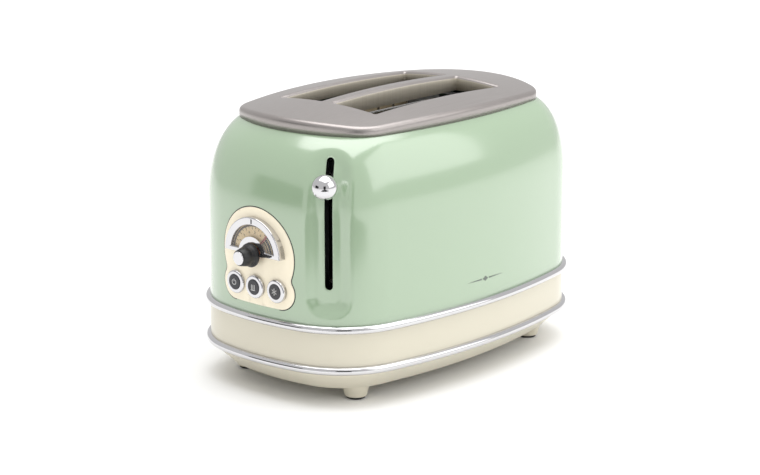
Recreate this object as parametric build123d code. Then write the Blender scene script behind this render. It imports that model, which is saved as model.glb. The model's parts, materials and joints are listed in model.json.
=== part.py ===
from build123d import *
import math
import os

# Two-slice pop-up toaster with a domed painted shell on a cream base between two chrome rings.
# Millimetres. +Z is up and Z = 0 is the worktop. The control end faces -X, and the pieces are
# laid out about the middle of the housing, then moved along X so that the frame's origin is
# under the middle of the whole object, knob included.

# ---- Plan outline of the trim rings: arcs for the ends, the sides and the corners ----
ring_half_length = 148.0
ring_half_width = 98.0
ring_end_radius = 198.0
ring_side_radius = 458.0
ring_corner_radius = 63.0
ring_height = 6.0
ring_proud = 3.7            # how far a ring stands out of the shell and the band
ring_flange_width = 6.0
ring_flange_thickness = 2.0

# ---- Heights of the stack ----
pad_thickness = 2.0
foot_height = 8.5
slope_height = 15.0         # slanted side of the base pan
ring_pitch = 29.9           # from the lower ring's centre to the upper ring's centre
straight_height = 75.6      # from the upper ring's centre to where the dome begins
dome_height = 62.0
dome_end_inset = 42.9       # how far the dome draws in at the ends and at the sides
dome_side_inset = 31.4
dome_top_angle = 80.0

# ---- Painted shell ----
shell_wall = 2.0
groove_width = 34.0         # pressed recess round the lever slot
groove_depth = 4.0
groove_corner = 14.0
groove_below_slot = 16.0
groove_above_slot = 6.0

# ---- Top plate ----
plate_rim_angle = 67.0      # where on the dome's curve the plate's rim rests
plate_proud = 0.7
plate_end_radius = 107.0
plate_side_radius = 429.0
plate_corner_radius = 30.0
plate_sheet = 1.2
plate_rise = 15.6           # from the rim to the top of the crown
plate_crown_radius_x = 1100.0
plate_crown_radius_y = 400.0
plate_edge_radius = 3.5
slot_end_margin = 75.5      # from the shell's end to the slot's end
slot_side_margin = 48.3     # from the shell's side to the slot's outer edge
centre_bar = 11.8
slot_corner = 4.0
slot_lip_radius = 1.2
collar_wall = 1.0
collar_depth = 13.0

# ---- Base ----
band_wall = 2.4
pan_wall = 2.4
pan_inset = 16.0            # how far the pan's underside draws in
foot_spread_x = 99.7
foot_spread_y = 54.3
foot_top_radius = 11.0
foot_bottom_radius = 8.0
pad_radius = 6.8
boss_spread_x = 70.0
boss_spread_y = 70.0
boss_radius = 4.6
base_screw_radius = 1.6
base_screw_head_radius = 3.2
base_screw_head = 2.4
vent_length = 60.0
vent_width = 4.0
vent_pitch = 12.0
vent_count = 6

# ---- Cord gland on the far long side ----
gland_x = 70.0
gland_bore_radius = 3.6
gland_radius = 6.0
gland_flange_radius = 8.5
gland_proud = 3.0
gland_nut = 3.0             # nut's depth inside the band
gland_rim = 0.8             # how far the gland's neck stands out of its flange
gland_flange_sink = 2.0
gland_drop = 1.0            # gland's axis below the band's middle

# ---- Lever and carriage ----
lever_angle = 32.5          # lever direction, measured from -X towards -Y
lever_rest = 163.0
lever_travel = 72.0
lever_lift = 11.0           # extra lift above rest, for small slices
lever_slot_width = 6.0
slot_end_clearance = 2.5
ball_radius = 9.0
ball_reach = 9.0            # ball centre in front of the shell's surface
stem_radius = 2.5
rod_setback = 41.0          # guide rod behind the shell's surface
rod_radius = 2.5
rod_clearance = 0.06
block_width = 13.0
block_height = 16.0
link_thickness = 2.0
link_height = 12.0
arm_height = 8.0
arm_thickness = 2.0
arm_clearance = 1.0
rack_finger_radius = 1.2
rack_finger_reach = 7.5
rack_finger_count = 9
liner_setback = 23.0        # black slot liner behind the shell's surface
liner_thickness = 1.5
liner_half_width = 15.0
liner_top_margin = 5.0
liner_gap = 3.3             # half of the gap that the stem runs in
liner_toe = 6.0
shelf_margin = 1.0          # shelf over the raised carriage block
shelf_reach = 1.8           # shelf's metal round the guide rod
rod_above_shelf = 0.8
ball_neck = 1.2             # small collar between the ball and its stem
link_end_margin = 4.0
rack_end_reach = 1.5        # how far a rack sticks out of the rear end plate
finger_end_margin = 4.0
spring_gap = 0.3
spring_inner_gap = 0.6
spring_outer_gap = 2.4

# ---- Bread guides ----
guide_wire_radius = 1.0
guide_gap = 34.0            # between the two guides of one slot at rest
guide_ratio = 0.1           # guide travel for each unit of carriage travel
guide_wire_count = 9
guide_low = 74.0
guide_end_reach = 2.0       # how far the long wires stick out of the end plates
guide_end_margin = 8.0
guide_top_margin = 5.0      # from the plate's rim down to the top wire
window_clearance = 0.4

# ---- Chassis ----
sheet = 1.5
floor_sheet = 1.2
chamber_margin = 7.7        # from the slot's end to the chassis end plate
heater_offset = 50.0        # outer heater cards from the middle
shield_offset = 56.0
shield_drop = 3.0
rib_width = 4.0
rib_pitch = 20.0
rib_height = 90.0
rib_proud = 0.6
end_plate_foot = 9.0
plate_side_margin = 0.4
floor_window_end = 6.0      # metal left at the ends of the floor's crumb windows
floor_window_side = 3.0     # and beside the heater cards
card_thickness = 0.8
card_leg = 5.0
card_end_margin = 8.0       # from the card's edges to the first and last ribbon
card_side_margin = 4.0      # from the card's ends to the ribbon's fold
ribbon_notch = 3.0
ribbon_width = 2.4
ribbon_thickness = 0.4
ribbon_count = 10
card_bottom = 68.0
card_top_margin = 10.0

# ---- Crumb tray ----
tray_half_width = 56.0
tray_bottom = 35.0
tray_wall_height = 12.0
tray_sheet = 1.0
tray_back_margin = 51.0     # from the shell's end to the tray's inner end
tray_clearance = 0.4
rail_sheet = 1.2
rail_ledge = 5.0
rail_front_margin = 33.0
pull_depth = 7.0
pull_half_width = 22.0
pull_thickness = 4.0
pull_root = 12.0
pull_corner = 3.0
rail_top_flange = 6.0
rail_drop = 0.2             # tray floor above the rail's ledge
tray_end_gap = 2.0

# ---- Control panel ----
panel_top_radius = 34.3
panel_top_height = 105.3
panel_lobe_radius = 12.2
panel_lobe_spread = 22.3
panel_lobe_height = 81.0
panel_pinch_radius = 6.0
panel_gap = 0.4
panel_proud = 0.4
panel_lip = 3.0
panel_lip_thickness = 1.5
dial_height = 106.0         # knob axis above the worktop
dial_radius = 27.0
dial_face = 5.5
dial_raise = 4.0
dial_bar = 3.4              # height of the straight bar under the window
hub_radius = 13.0
hub_bore = 9.0
scale_raise = 0.8
needle_thickness = 0.5
needle_reach = 20.0
needle_hub_radius = 5.6
needle_width = 1.6
needle_angle = 40.0         # clockwise from straight up, seen from the control end
lens_thickness = 1.0
knob_base_radius = 8.7
knob_front_radius = 5.65
knob_length = 12.4
pointer_reach = 19.0
pointer_root_width = 2.6
pointer_tip_width = 0.9
pointer_thickness = 0.8
pointer_angle = 85.0        # clockwise from straight up, seen from the control end
knob_gap = 0.4
cap_radius = 4.9
cap_thickness = 0.8
knob_shaft_radius = 3.0
shaft_clearance = 0.05
button_height = 82.0
button_spread = 20.0
button_radius = 5.5
button_proud = 3.6
button_travel = 1.5
button_clearance = 0.25
button_flange_radius = 6.9
button_flange_setback = 4.7
button_flange = 1.2
plunger_radius = 1.8
bezel_radius = 8.5
bezel_proud = 3.0

# ---- Circuit board and electrics ----
board_setback = 24.7        # board's front face behind the shell's end
board_thickness = 1.6
board_half_width = 30.5
board_bottom = 69.5
board_top = 133.0
board_boss_radius = 2.8
board_boss_spread = 26.5
board_boss_low = 73.3
board_boss_high = 128.0
board_screw_radius = 1.2
board_screw_head_radius = 2.4
board_screw_head = 1.6
pot_width = 16.0
pot_depth = 7.0
switch_width = 6.0
switch_depth = 3.5
switch_button = 1.2
magnet_depth = 11.0
magnet_width = 16.0
magnet_gap = 0.3            # armature to core when the carriage is down
magnet_leg = 3.0
magnet_middle = 2.5         # half of the core's middle leg
magnet_yoke = 4.0
magnet_setback = 1.5
coil_half_width = 4.9
coil_end = 2.0
coil_drop = 2.0
armature_thickness = 2.0
armature_overhang = 1.0
contact_block_width = 10.0
contact_block_depth = 12.0
contact_block_height = 10.0
contact_blade_width = 4.0
contact_blade_thickness = 0.5
contact_pitch = 4.0
contact_drop = 3.0
contact_setback = 4.0
terminal_length = 30.0
terminal_width = 12.0
terminal_height = 11.0
terminal_setback = 27.0     # from the gland to the terminal block's middle, along X
relay_size = (9.0, 14.0, 15.0)
relay_place = (18.0, 100.5)
capacitor_radius = 4.5
capacitor_length = 11.0
capacitor_place = (-18.0, 98.0)
chip_size = (2.5, 10.0, 14.0)
chip_place = (-17.0, 115.0)
switch_button_radius = 1.5

seat = 0.05                 # assembly clearance between fixed pieces
nodes = {}


# ---- Places worked out from the sizes above ----
body_half_length = ring_half_length - ring_proud
body_half_width = ring_half_width - ring_proud
body_end_radius = ring_end_radius - ring_proud
under_level = pad_thickness + foot_height
lower_ring_level = under_level + slope_height + ring_height / 2
upper_ring_level = lower_ring_level + ring_pitch
dome_level = upper_ring_level + straight_height
half_flange = ring_flange_thickness / 2
floor_level = upper_ring_level + half_flange
floor_top = floor_level + floor_sheet

rim_angle = math.radians(plate_rim_angle)
rim_level = dome_level + dome_height * math.sin(rim_angle)
crown_level = rim_level + plate_rise

slot_half_length = body_half_length - slot_end_margin
slot_inner = centre_bar / 2
slot_outer = body_half_width - slot_side_margin
slot_middle = (slot_inner + slot_outer) / 2
chamber = slot_half_length + chamber_margin
guide_top = rim_level - guide_top_margin
plate_top = guide_top + guide_wire_radius + 2.5

lever_turn = math.radians(lever_angle)
outward = Vector(-math.cos(lever_turn), -math.sin(lever_turn), 0)
sideways = Vector(math.sin(lever_turn), -math.cos(lever_turn), 0)
slot_low = lever_rest - lever_travel - stem_radius - slot_end_clearance
slot_high = lever_rest + lever_lift + stem_radius + slot_end_clearance
carriage_low = lever_rest - block_height / 2
board_face = -(body_half_length - board_setback)
dial_front = -(body_half_length + panel_proud + dial_raise)
knob_back = dial_front - knob_gap
knob_front = knob_back - knob_length
knob_tip = knob_front - cap_thickness
housing_shift = (-knob_tip - ring_half_length) / 2


# ---- Helpers ----
def box_between(low, high):
    """Box between two opposite corners."""
    centre = [(a + b) / 2 for a, b in zip(low, high)]
    size = [abs(b - a) for a, b in zip(low, high)]
    return Pos(*centre) * Box(*size)


def bar_between(start, end, radius):
    """Round bar between two points."""
    start, end = Vector(*start), Vector(*end)
    place = Plane(origin=start, z_dir=end - start)
    return place * Cylinder(radius, (end - start).length, align=(Align.CENTER, Align.CENTER, Align.MIN))


def stand(x, y, bottom, top, radius):
    """Upright cylinder."""
    return bar_between((x, y, bottom), (x, y, top), radius)


def quadrants(x, y):
    """The four mirrored places of a point in plan."""
    return [(sx * x, sy * y) for sx in (-1, 1) for sy in (-1, 1)]


def group(pieces):
    """One node made of separate solids."""
    return Compound([solid for piece in pieces for solid in piece.solids()])


def corner_arc_centre(half_length, half_width, end_radius, side_radius, corner_radius):
    """Centre of the corner arc that is tangent to the end arc and to the side arc."""
    end_centre = half_length - end_radius
    side_centre = half_width - side_radius
    from_end = end_radius - corner_radius
    from_side = side_radius - corner_radius
    span = math.hypot(end_centre, side_centre)
    along = (from_end ** 2 - from_side ** 2 + span ** 2) / (2 * span)
    across = math.sqrt(from_end ** 2 - along ** 2)
    toward_x, toward_y = -end_centre / span, side_centre / span
    return end_centre + along * toward_x - across * toward_y, along * toward_y + across * toward_x


def arc_outline(half_length, half_width, end_radius, side_radius, corner_radius, level):
    """Face bounded by two end arcs, two side arcs and four corner arcs, all tangent."""
    end_centre = half_length - end_radius
    side_centre = half_width - side_radius
    corner_x, corner_y = corner_arc_centre(half_length, half_width, end_radius, side_radius, corner_radius)
    end_turn = math.atan2(corner_y, corner_x - end_centre)
    side_turn = math.atan2(corner_y - side_centre, corner_x)
    middle_turn = (end_turn + side_turn) / 2
    end_x = end_centre + end_radius * math.cos(end_turn)
    end_y = end_radius * math.sin(end_turn)
    side_x = side_radius * math.cos(side_turn)
    side_y = side_centre + side_radius * math.sin(side_turn)
    mid_x = corner_x + corner_radius * math.cos(middle_turn)
    mid_y = corner_y + corner_radius * math.sin(middle_turn)
    stops = [
        (end_x, -end_y), (half_length, 0), (end_x, end_y), (mid_x, mid_y),
        (side_x, side_y), (0, half_width), (-side_x, side_y), (-mid_x, mid_y),
        (-end_x, end_y), (-half_length, 0), (-end_x, -end_y), (-mid_x, -mid_y),
        (-side_x, -side_y), (0, -half_width), (side_x, -side_y), (mid_x, -mid_y),
    ]
    points = [(x, y, level) for x, y in stops + stops[:1]]
    arcs = [ThreePointArc(*points[n:n + 3]) for n in range(0, len(stops), 2)]
    return Face(Wire(arcs))


def body_outline(inset, level):
    """Outline of the shell and the band, moved inward by inset."""
    return arc_outline(
        body_half_length - inset, body_half_width - inset, body_end_radius - inset,
        ring_side_radius - ring_proud - inset, ring_corner_radius - ring_proud - inset, level)


def body_prism(inset, low, high):
    """Straight prism on the body outline."""
    return extrude(body_outline(inset, low), high - low, dir=(0, 0, 1))


def dome_outline(inset, angle):
    """Outline of the dome at an angle up its curve, moved inward by inset."""
    drawn = 1 - math.cos(angle)
    share = drawn / (1 - math.cos(rim_angle))

    def blended(lower, upper):
        return lower + (upper - lower) * share - inset

    return arc_outline(
        body_half_length - inset - (dome_end_inset - inset) * drawn,
        body_half_width - inset - (dome_side_inset - inset) * drawn,
        blended(body_end_radius, plate_end_radius),
        blended(ring_side_radius - ring_proud, plate_side_radius),
        blended(ring_corner_radius - ring_proud, plate_corner_radius),
        dome_level + (dome_height - inset) * math.sin(angle))


def shell_form(inset, bottom):
    """Solid inside the shell's outer surface, moved inward by inset: a prism under a lofted dome."""
    step_count = 10
    angles = [math.radians(dome_top_angle * step / step_count) for step in range(step_count + 1)]
    dome = loft([dome_outline(inset, angle) for angle in angles])
    return body_prism(inset, bottom, dome_level) + dome


def surface_at(y):
    """X of the control end's surface at a distance y from the middle."""
    return -(body_half_length - body_end_radius + math.sqrt(body_end_radius ** 2 - y ** 2))


corner_x, corner_y = corner_arc_centre(
    body_half_length, body_half_width, body_end_radius,
    ring_side_radius - ring_proud, ring_corner_radius - ring_proud)
corner_reach = ring_corner_radius - ring_proud
lever_foot = Vector(-corner_x, -corner_y, 0) + outward * corner_reach
lever_plane = Plane(origin=lever_foot, x_dir=sideways, z_dir=outward)
rod_place = lever_foot - outward * rod_setback
rod_x, rod_y = rod_place.X, rod_place.Y
link_back = rod_x + block_width / 2 + link_thickness

outer_form = shell_form(0, floor_level)


# ---- Trim rings: a half-round bead with a flange clamped between the parts it separates ----
def trim_ring(level):
    low = level - ring_height / 2
    bead = body_prism(-ring_proud, low, low + ring_height)
    rims = bead.edges().group_by(Axis.Z)
    bead = fillet(rims[0] + rims[-1], ring_height / 2 - 0.1)
    bead -= body_prism(-seat, low - 1, low + ring_height + 1)
    flange = body_prism(-ring_proud / 2, level - half_flange, level + half_flange)
    flange -= body_prism(ring_flange_width, level - half_flange - 1, level + half_flange + 1)
    return bead + flange


nodes["upper_trim_ring"] = trim_ring(upper_ring_level)
nodes["lower_trim_ring"] = trim_ring(lower_ring_level)


# ---- Painted shell with the lever recess, the panel opening and the mouth under the plate ----
def lever_prism(width, low, high, corner):
    outline = Pos(0, (low + high) / 2) * RectangleRounded(width, high - low, corner)
    start = lever_plane.offset(-rod_setback)
    return extrude(start * outline, rod_setback + ball_radius)


def panel_prism(grow):
    top = Pos(0, panel_top_height) * Circle(panel_top_radius + grow)
    lobe_width = 2 * (panel_lobe_radius + grow)
    lobe = Pos(0, panel_lobe_height) * SlotCenterToCenter(2 * panel_lobe_spread, lobe_width)
    outline = top + lobe
    pinch = [
        v for v in outline.vertices()
        if abs(math.hypot(v.X, v.Y - panel_top_height) - panel_top_radius - grow) < 0.01
        and abs(v.X) > panel_lobe_spread and v.Y < panel_top_height
    ]
    outline = fillet(pinch, panel_pinch_radius - grow)
    face = Plane(origin=(board_face, 0, 0), x_dir=(0, -1, 0), z_dir=(-1, 0, 0)) * outline
    return extrude(face, board_setback + dial_raise)


def body_shell():
    groove_low, groove_high = slot_low - groove_below_slot, slot_high + groove_above_slot
    recess = lever_prism(groove_width, groove_low, groove_high, groove_corner)
    recess -= shell_form(groove_depth, floor_level)
    recess_back = lever_prism(groove_width + 2 * shell_wall, groove_low - shell_wall,
                              groove_high + shell_wall, groove_corner + shell_wall)
    recess_back -= shell_form(groove_depth + shell_wall, floor_level)
    hollow = shell_form(shell_wall, floor_level - 1) - recess_back
    mouth = extrude(dome_outline(shell_wall, math.radians(dome_top_angle)), 2 * shell_wall, dir=(0, 0, 1))
    lever_slot = lever_prism(lever_slot_width, slot_low, slot_high, lever_slot_width / 2 - 0.01)
    return outer_form - hollow - mouth - recess - lever_slot - panel_prism(panel_gap)


nodes["body_shell"] = body_shell()


# ---- Stainless top plate: crowned both ways, with a skirt and two collared bread slots ----
def crown_form(inset):
    """Solid under a surface crowned along X and along Y, lowered by inset."""
    reach = body_half_width
    low = rim_level - plate_rise
    drop = plate_crown_radius_y - math.sqrt(plate_crown_radius_y ** 2 - reach ** 2)
    half_count = 4
    sections = []
    for n in range(-half_count, half_count + 1):
        x = n / half_count * body_half_length
        high = crown_level - inset - plate_crown_radius_x + math.sqrt(plate_crown_radius_x ** 2 - x ** 2)
        left, right = (x, -reach, high - drop), (x, reach, high - drop)
        base = Polyline(right, (x, reach, low), (x, -reach, low), left)
        sections.append(Face(Wire([ThreePointArc(left, (x, 0, high), right)] + base.edges())))
    return loft(sections)


def plate_prism(inset, low, high, slot_grow=None):
    """Prism on the plate's rim moved inward by inset, pierced by the slots where slot_grow is given."""
    outline = arc_outline(
        body_half_length - dome_end_inset * (1 - math.cos(rim_angle)) + plate_proud - inset,
        body_half_width - dome_side_inset * (1 - math.cos(rim_angle)) + plate_proud - inset,
        plate_end_radius - inset, plate_side_radius - inset, plate_corner_radius - inset, low)
    if slot_grow is not None:
        slot_length = 2 * (slot_half_length + slot_grow)
        slot_width = slot_outer - slot_inner + 2 * slot_grow
        for side in (-1, 1):
            outline -= Pos(0, side * slot_middle, low) * RectangleRounded(
                slot_length, slot_width, slot_corner + slot_grow)
    return extrude(outline, high - low, dir=(0, 0, 1))


def top_plate():
    above = crown_level + 1
    collar_level = crown_level - collar_depth
    block = plate_prism(0, rim_level - 1, above, 0) & crown_form(0)
    block = fillet(block.faces().sort_by(Axis.Z)[-1].outer_wire().edges(), plate_edge_radius)
    lips = [edge for wire in block.faces().sort_by(Axis.Z)[-1].inner_wires() for edge in wire.edges()]
    block = fillet(lips, slot_lip_radius)
    hollow = plate_prism(plate_sheet, collar_level, above, collar_wall) & crown_form(plate_sheet)
    return block - hollow - plate_prism(plate_sheet, rim_level - 2, collar_level) - outer_form


nodes["top_plate"] = top_plate()


# ---- Base: cream band, pan with slanted sides, feet and pads ----
band_low = lower_ring_level + half_flange
band_high = upper_ring_level - half_flange


def band_ring(low, high, wall):
    return body_prism(0, low, high) - body_prism(wall, low - 1, high + 1)


def front_window(clearance):
    """Space in the band that the tray's front fills."""
    wide = tray_half_width + 2 * tray_clearance + clearance
    trim = tray_clearance - clearance
    low = lower_ring_level + ring_height / 2 + trim
    high = upper_ring_level - ring_height / 2 - trim
    return box_between((chamber, -wide, low), (ring_half_length, wide, high))


gland_y = body_half_width - ring_side_radius + ring_proud \
    + math.sqrt((ring_side_radius - ring_proud) ** 2 - gland_x ** 2)
gland_level = (band_low + band_high) / 2 - gland_drop
band = band_ring(band_low, band_high, band_wall) - front_window(tray_clearance)



def along_gland(start, end, radius):
    """Cylinder on the gland's axis between two distances from the band's outer face."""
    return bar_between((gland_x, gland_y + start, gland_level), (gland_x, gland_y + end, gland_level), radius)


band -= along_gland(-2 * gland_radius, gland_radius, gland_radius + seat)
nodes["base_band"] = band


def pan_form(inset):
    top = lower_ring_level - half_flange
    collar = body_prism(inset, under_level + slope_height, top)
    upper = body_outline(inset, under_level + slope_height)
    lower = body_outline(pan_inset + inset, under_level)
    slope = loft([upper, lower], ruled=True)
    return collar + slope


def base_pan():
    pan = pan_form(0)
    hollow = pan_form(pan_wall) & body_prism(0, under_level + pan_wall, lower_ring_level)
    pan -= hollow
    for x, y in quadrants(boss_spread_x, boss_spread_y):
        pan += stand(x, y, under_level, floor_level, boss_radius)
        pan -= stand(x, y, under_level - 1, floor_level + 1, base_screw_radius + seat)
        pan -= stand(x, y, under_level - 1, under_level + base_screw_head, base_screw_head_radius + seat)
    for n in range(vent_count):
        y = (n - (vent_count - 1) / 2) * vent_pitch
        vent = Pos(0, y, under_level - 1) * SlotOverall(vent_length, vent_width)
        pan -= extrude(vent, pan_wall + 2, dir=(0, 0, 1))
    return pan


nodes["base_pan"] = base_pan()


def foot(x, y):
    place = Pos(x, y, pad_thickness)
    cone = place * Cone(foot_bottom_radius, foot_top_radius, foot_height + pan_wall,
                        align=(Align.CENTER, Align.CENTER, Align.MIN))
    return cone - pan_form(0)


def foot_pad(x, y):
    pad = stand(x, y, 0, pad_thickness, pad_radius)
    return fillet(pad.edges().group_by(Axis.Z)[0], 0.6)


nodes["feet"] = group([foot(x, y) for x, y in quadrants(foot_spread_x, foot_spread_y)])
nodes["foot_pads"] = group([foot_pad(x, y) for x, y in quadrants(foot_spread_x, foot_spread_y)])


def base_screw(x, y):
    head = stand(x, y, under_level + 0.4, under_level + base_screw_head, base_screw_head_radius)
    drive = Pos(x, y, under_level + 0.8) * (Box(4.0, 0.9, 1.6) + Box(0.9, 4.0, 1.6))
    return head + stand(x, y, under_level + base_screw_head, floor_top + 2, base_screw_radius) - drive


nodes["base_screws"] = group([base_screw(x, y) for x, y in quadrants(boss_spread_x, boss_spread_y)])


def cord_gland():
    inner = -band_wall - gland_nut
    flange = along_gland(-gland_flange_sink, gland_proud - gland_rim, gland_flange_radius)
    nut = along_gland(inner, -gland_rim, gland_flange_radius)
    outside = flange - body_prism(0, under_level, dome_level)
    inside = nut & body_prism(band_wall, under_level, dome_level)
    bore = along_gland(inner - 1, gland_proud + 1, gland_bore_radius)
    return along_gland(inner, gland_proud, gland_radius) + outside + inside - bore


nodes["cord_gland"] = cord_gland()


# ---- Chassis: floor, end plates, heat shields and rails ----
def chassis_floor():
    plate = body_prism(shell_wall + 0.3, floor_level, floor_top)
    for side in (-1, 1):
        reach = chamber - floor_window_end
        plate -= box_between((-reach, side * floor_window_side, floor_level - 1),
                             (reach, side * (heater_offset - floor_window_side), floor_top + 1))
    for x, y in quadrants(boss_spread_x, boss_spread_y):
        plate -= stand(x, y, floor_level - 1, floor_top + 1, base_screw_radius + seat)
    return plate


nodes["chassis_floor"] = chassis_floor()


def guide_windows(level):
    """Slots in the end plates for the guide wires' ends."""
    cut = guide_wire_radius + window_clearance
    windows = []
    for side in (-1, 1):
        for inner in (-1, 1):
            rest = side * slot_middle - inner * side * guide_gap / 2
            toward = inner * side
            reach_in = rest + toward * (guide_ratio * lever_travel + cut)
            reach_out = rest - toward * (guide_ratio * lever_lift + cut)
            end = chamber + end_plate_foot
            windows.append(box_between((-end, reach_out, level - cut), (end, reach_in, level + cut)))
    return windows


def end_plate(side):
    near, far = side * chamber, side * (chamber + sheet)
    half = shield_offset + card_thickness + plate_side_margin
    plate = box_between((near, -half, floor_top), (far, half, plate_top))
    toe = side * (chamber + end_plate_foot)
    plate += box_between((near, -half, floor_top), (toe, half, floor_top + sheet))
    for window in guide_windows(guide_top) + guide_windows(guide_low):
        plate -= window
    arm_low = carriage_low - lever_travel - arm_clearance
    arm_high = carriage_low + lever_lift + arm_height + arm_clearance
    wide = arm_thickness / 2 + arm_clearance
    for y in (-slot_middle, slot_middle):
        plate -= box_between((near - side, y - wide, arm_low), (far + side, y + wide, arm_high))
    return plate


shelf_low = lever_rest + lever_lift + block_height / 2 + shelf_margin


def front_end_plate():
    plate = end_plate(-1)
    reach = rod_radius + shelf_reach
    shelf_end = rod_x - reach
    shelf = box_between((-chamber, rod_y - reach, shelf_low), (shelf_end, rod_y + reach, shelf_low + sheet))
    for window in guide_windows(guide_top):
        shelf -= window
    return plate + shelf - stand(rod_x, rod_y, shelf_low - 1, shelf_low + sheet + 1, rod_radius + seat)


nodes["front_end_plate"] = front_end_plate()
nodes["rear_end_plate"] = end_plate(1)

rod_top = shelf_low + sheet + rod_above_shelf
nodes["guide_rod"] = stand(rod_x, rod_y, floor_top, rod_top, rod_radius)


def heat_shield(side):
    face = side * shield_offset
    outer_face = face + side * card_thickness
    panel = box_between((-chamber, face, floor_top), (chamber, outer_face, plate_top - shield_drop))
    middle = (floor_top + plate_top) / 2
    for n in range(-3, 4):
        low = (n * rib_pitch - rib_width / 2, face, middle - rib_height / 2)
        high = (n * rib_pitch + rib_width / 2, outer_face + side * rib_proud, middle + rib_height / 2)
        panel += box_between(low, high)
    return panel


nodes["heat_shields"] = group([heat_shield(side) for side in (-1, 1)])


def rail(side):
    face = side * (tray_half_width + tray_clearance)
    back = -(body_half_length - tray_back_margin)
    front = body_half_length - rail_front_margin
    ledge_top = tray_bottom - rail_drop
    web = box_between((back, face, ledge_top - rail_sheet), (front, face + side * rail_sheet, floor_level))
    ledge = box_between((back, face + side * rail_sheet, ledge_top - rail_sheet),
                        (front, face - side * rail_ledge, ledge_top))
    top = box_between((back, face, floor_level - rail_sheet),
                      (front, face + side * (rail_sheet + rail_top_flange), floor_level))
    piece = web + ledge + top
    for x in (-boss_spread_x, boss_spread_x):
        piece -= stand(x, side * boss_spread_y, under_level, floor_top, boss_radius + 0.3)
    return piece


nodes["tray_rails"] = group([rail(side) for side in (-1, 1)])


# ---- Heaters: three mica cards wound with flat ribbon ----
card_top = plate_top - card_top_margin
card_places = (-heater_offset, 0, heater_offset)


def heater_card(y):
    half = card_thickness / 2
    card = box_between((-chamber, y - half, card_bottom), (chamber, y + half, card_top))
    for side in (-1, 1):
        card += box_between((side * chamber, y - half, floor_top),
                            (side * (chamber - card_leg), y + half, card_bottom))
    return card


def ribbon(y, n):
    pitch = (card_top - card_bottom - 2 * card_end_margin) / (ribbon_count - 1)
    level = card_bottom + card_end_margin + n * pitch
    half = card_thickness / 2
    reach = chamber - card_side_margin
    outside = box_between((-reach, y - half - ribbon_thickness, level - ribbon_width / 2),
                          (reach, y + half + ribbon_thickness, level + ribbon_width / 2))
    card = box_between((-reach + ribbon_thickness, y - half, level - ribbon_notch),
                       (reach - ribbon_thickness, y + half, level + ribbon_notch))
    return outside - card


def wound_card(y):
    """Card with a notch at both edges for each ribbon."""
    card = heater_card(y)
    for n in range(ribbon_count):
        card -= ribbon(y, n)
    return card


nodes["heater_cards"] = group([wound_card(y) for y in card_places])
nodes["heater_ribbons"] = group([ribbon(y, n) for y in card_places for n in range(ribbon_count)])


# ---- Bread guides: one wire grille on each side of each slot ----
def bread_guide(side, inner):
    y = side * slot_middle - inner * side * guide_gap / 2
    reach = chamber + sheet + guide_end_reach
    grille = bar_between((-reach, y, guide_top), (reach, y, guide_top), guide_wire_radius)
    grille += bar_between((-reach, y, guide_low), (reach, y, guide_low), guide_wire_radius)
    for n in range(guide_wire_count):
        x = (n / (guide_wire_count - 1) - 0.5) * 2 * (chamber - guide_end_margin)
        grille += bar_between((x, y, guide_low), (x, y, guide_top), guide_wire_radius)
    return grille


nodes["bread_guide_near_outer"] = bread_guide(-1, -1)
nodes["bread_guide_near_inner"] = bread_guide(-1, 1)
nodes["bread_guide_far_inner"] = bread_guide(1, 1)
nodes["bread_guide_far_outer"] = bread_guide(1, -1)


# ---- Lever and carriage ----
ball_place = lever_foot + outward * ball_reach + Vector(0, 0, lever_rest)
stem_end = lever_foot - outward * (rod_setback - rod_radius - ball_neck) + Vector(0, 0, lever_rest)
stem = bar_between(ball_place - outward * (ball_radius - stem_radius), stem_end, stem_radius)
neck_start = ball_place - outward * (ball_radius - ball_neck)
neck_end = ball_place - outward * (ball_radius + ball_neck)
ball = Pos(*ball_place) * Sphere(ball_radius)
ball += bar_between(neck_start, neck_end, stem_radius + ball_neck)
nodes["lever_ball"] = ball - stem
nodes["lever_stem"] = stem

block = Pos(rod_x, rod_y, lever_rest) * Box(block_width, block_width, block_height)
block -= stand(rod_x, rod_y, floor_top, rod_top, rod_radius + rod_clearance)
nodes["carriage_block"] = block - stem

link_front = link_back - link_thickness
link_top = carriage_low + link_height
nodes["carriage_link"] = box_between((link_front, rod_y - block_width / 2, carriage_low),
                                     (link_back, slot_middle + link_end_margin, link_top))


def bread_rack(y):
    half = arm_thickness / 2
    top = carriage_low + arm_height
    reach = chamber + sheet + rack_end_reach
    bar = box_between((link_back, y - half, carriage_low), (reach, y + half, top))
    for n in range(rack_finger_count):
        x = (n / (rack_finger_count - 1) - 0.5) * 2 * (slot_half_length - finger_end_margin)
        level = top - rack_finger_radius
        near_tip, far_tip = (x, y - rack_finger_reach, level), (x, y + rack_finger_reach, level)
        bar += bar_between(near_tip, far_tip, rack_finger_radius)
    return bar


nodes["near_bread_rack"] = bread_rack(-slot_middle)
nodes["far_bread_rack"] = bread_rack(slot_middle)

armature_reach = link_front - magnet_depth - magnet_setback - armature_overhang
armature_half = magnet_width / 2 + armature_overhang
nodes["armature_plate"] = box_between((armature_reach, -armature_half, carriage_low),
                                      (link_front, armature_half, carriage_low + armature_thickness))

spring_top = carriage_low - spring_gap
spring_sleeve = stand(rod_x, rod_y, floor_top + spring_gap, spring_top, rod_radius + spring_outer_gap)
spring_bore = stand(rod_x, rod_y, floor_top, spring_top + 1, rod_radius + spring_inner_gap)
nodes["carriage_spring"] = spring_sleeve - spring_bore


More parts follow.
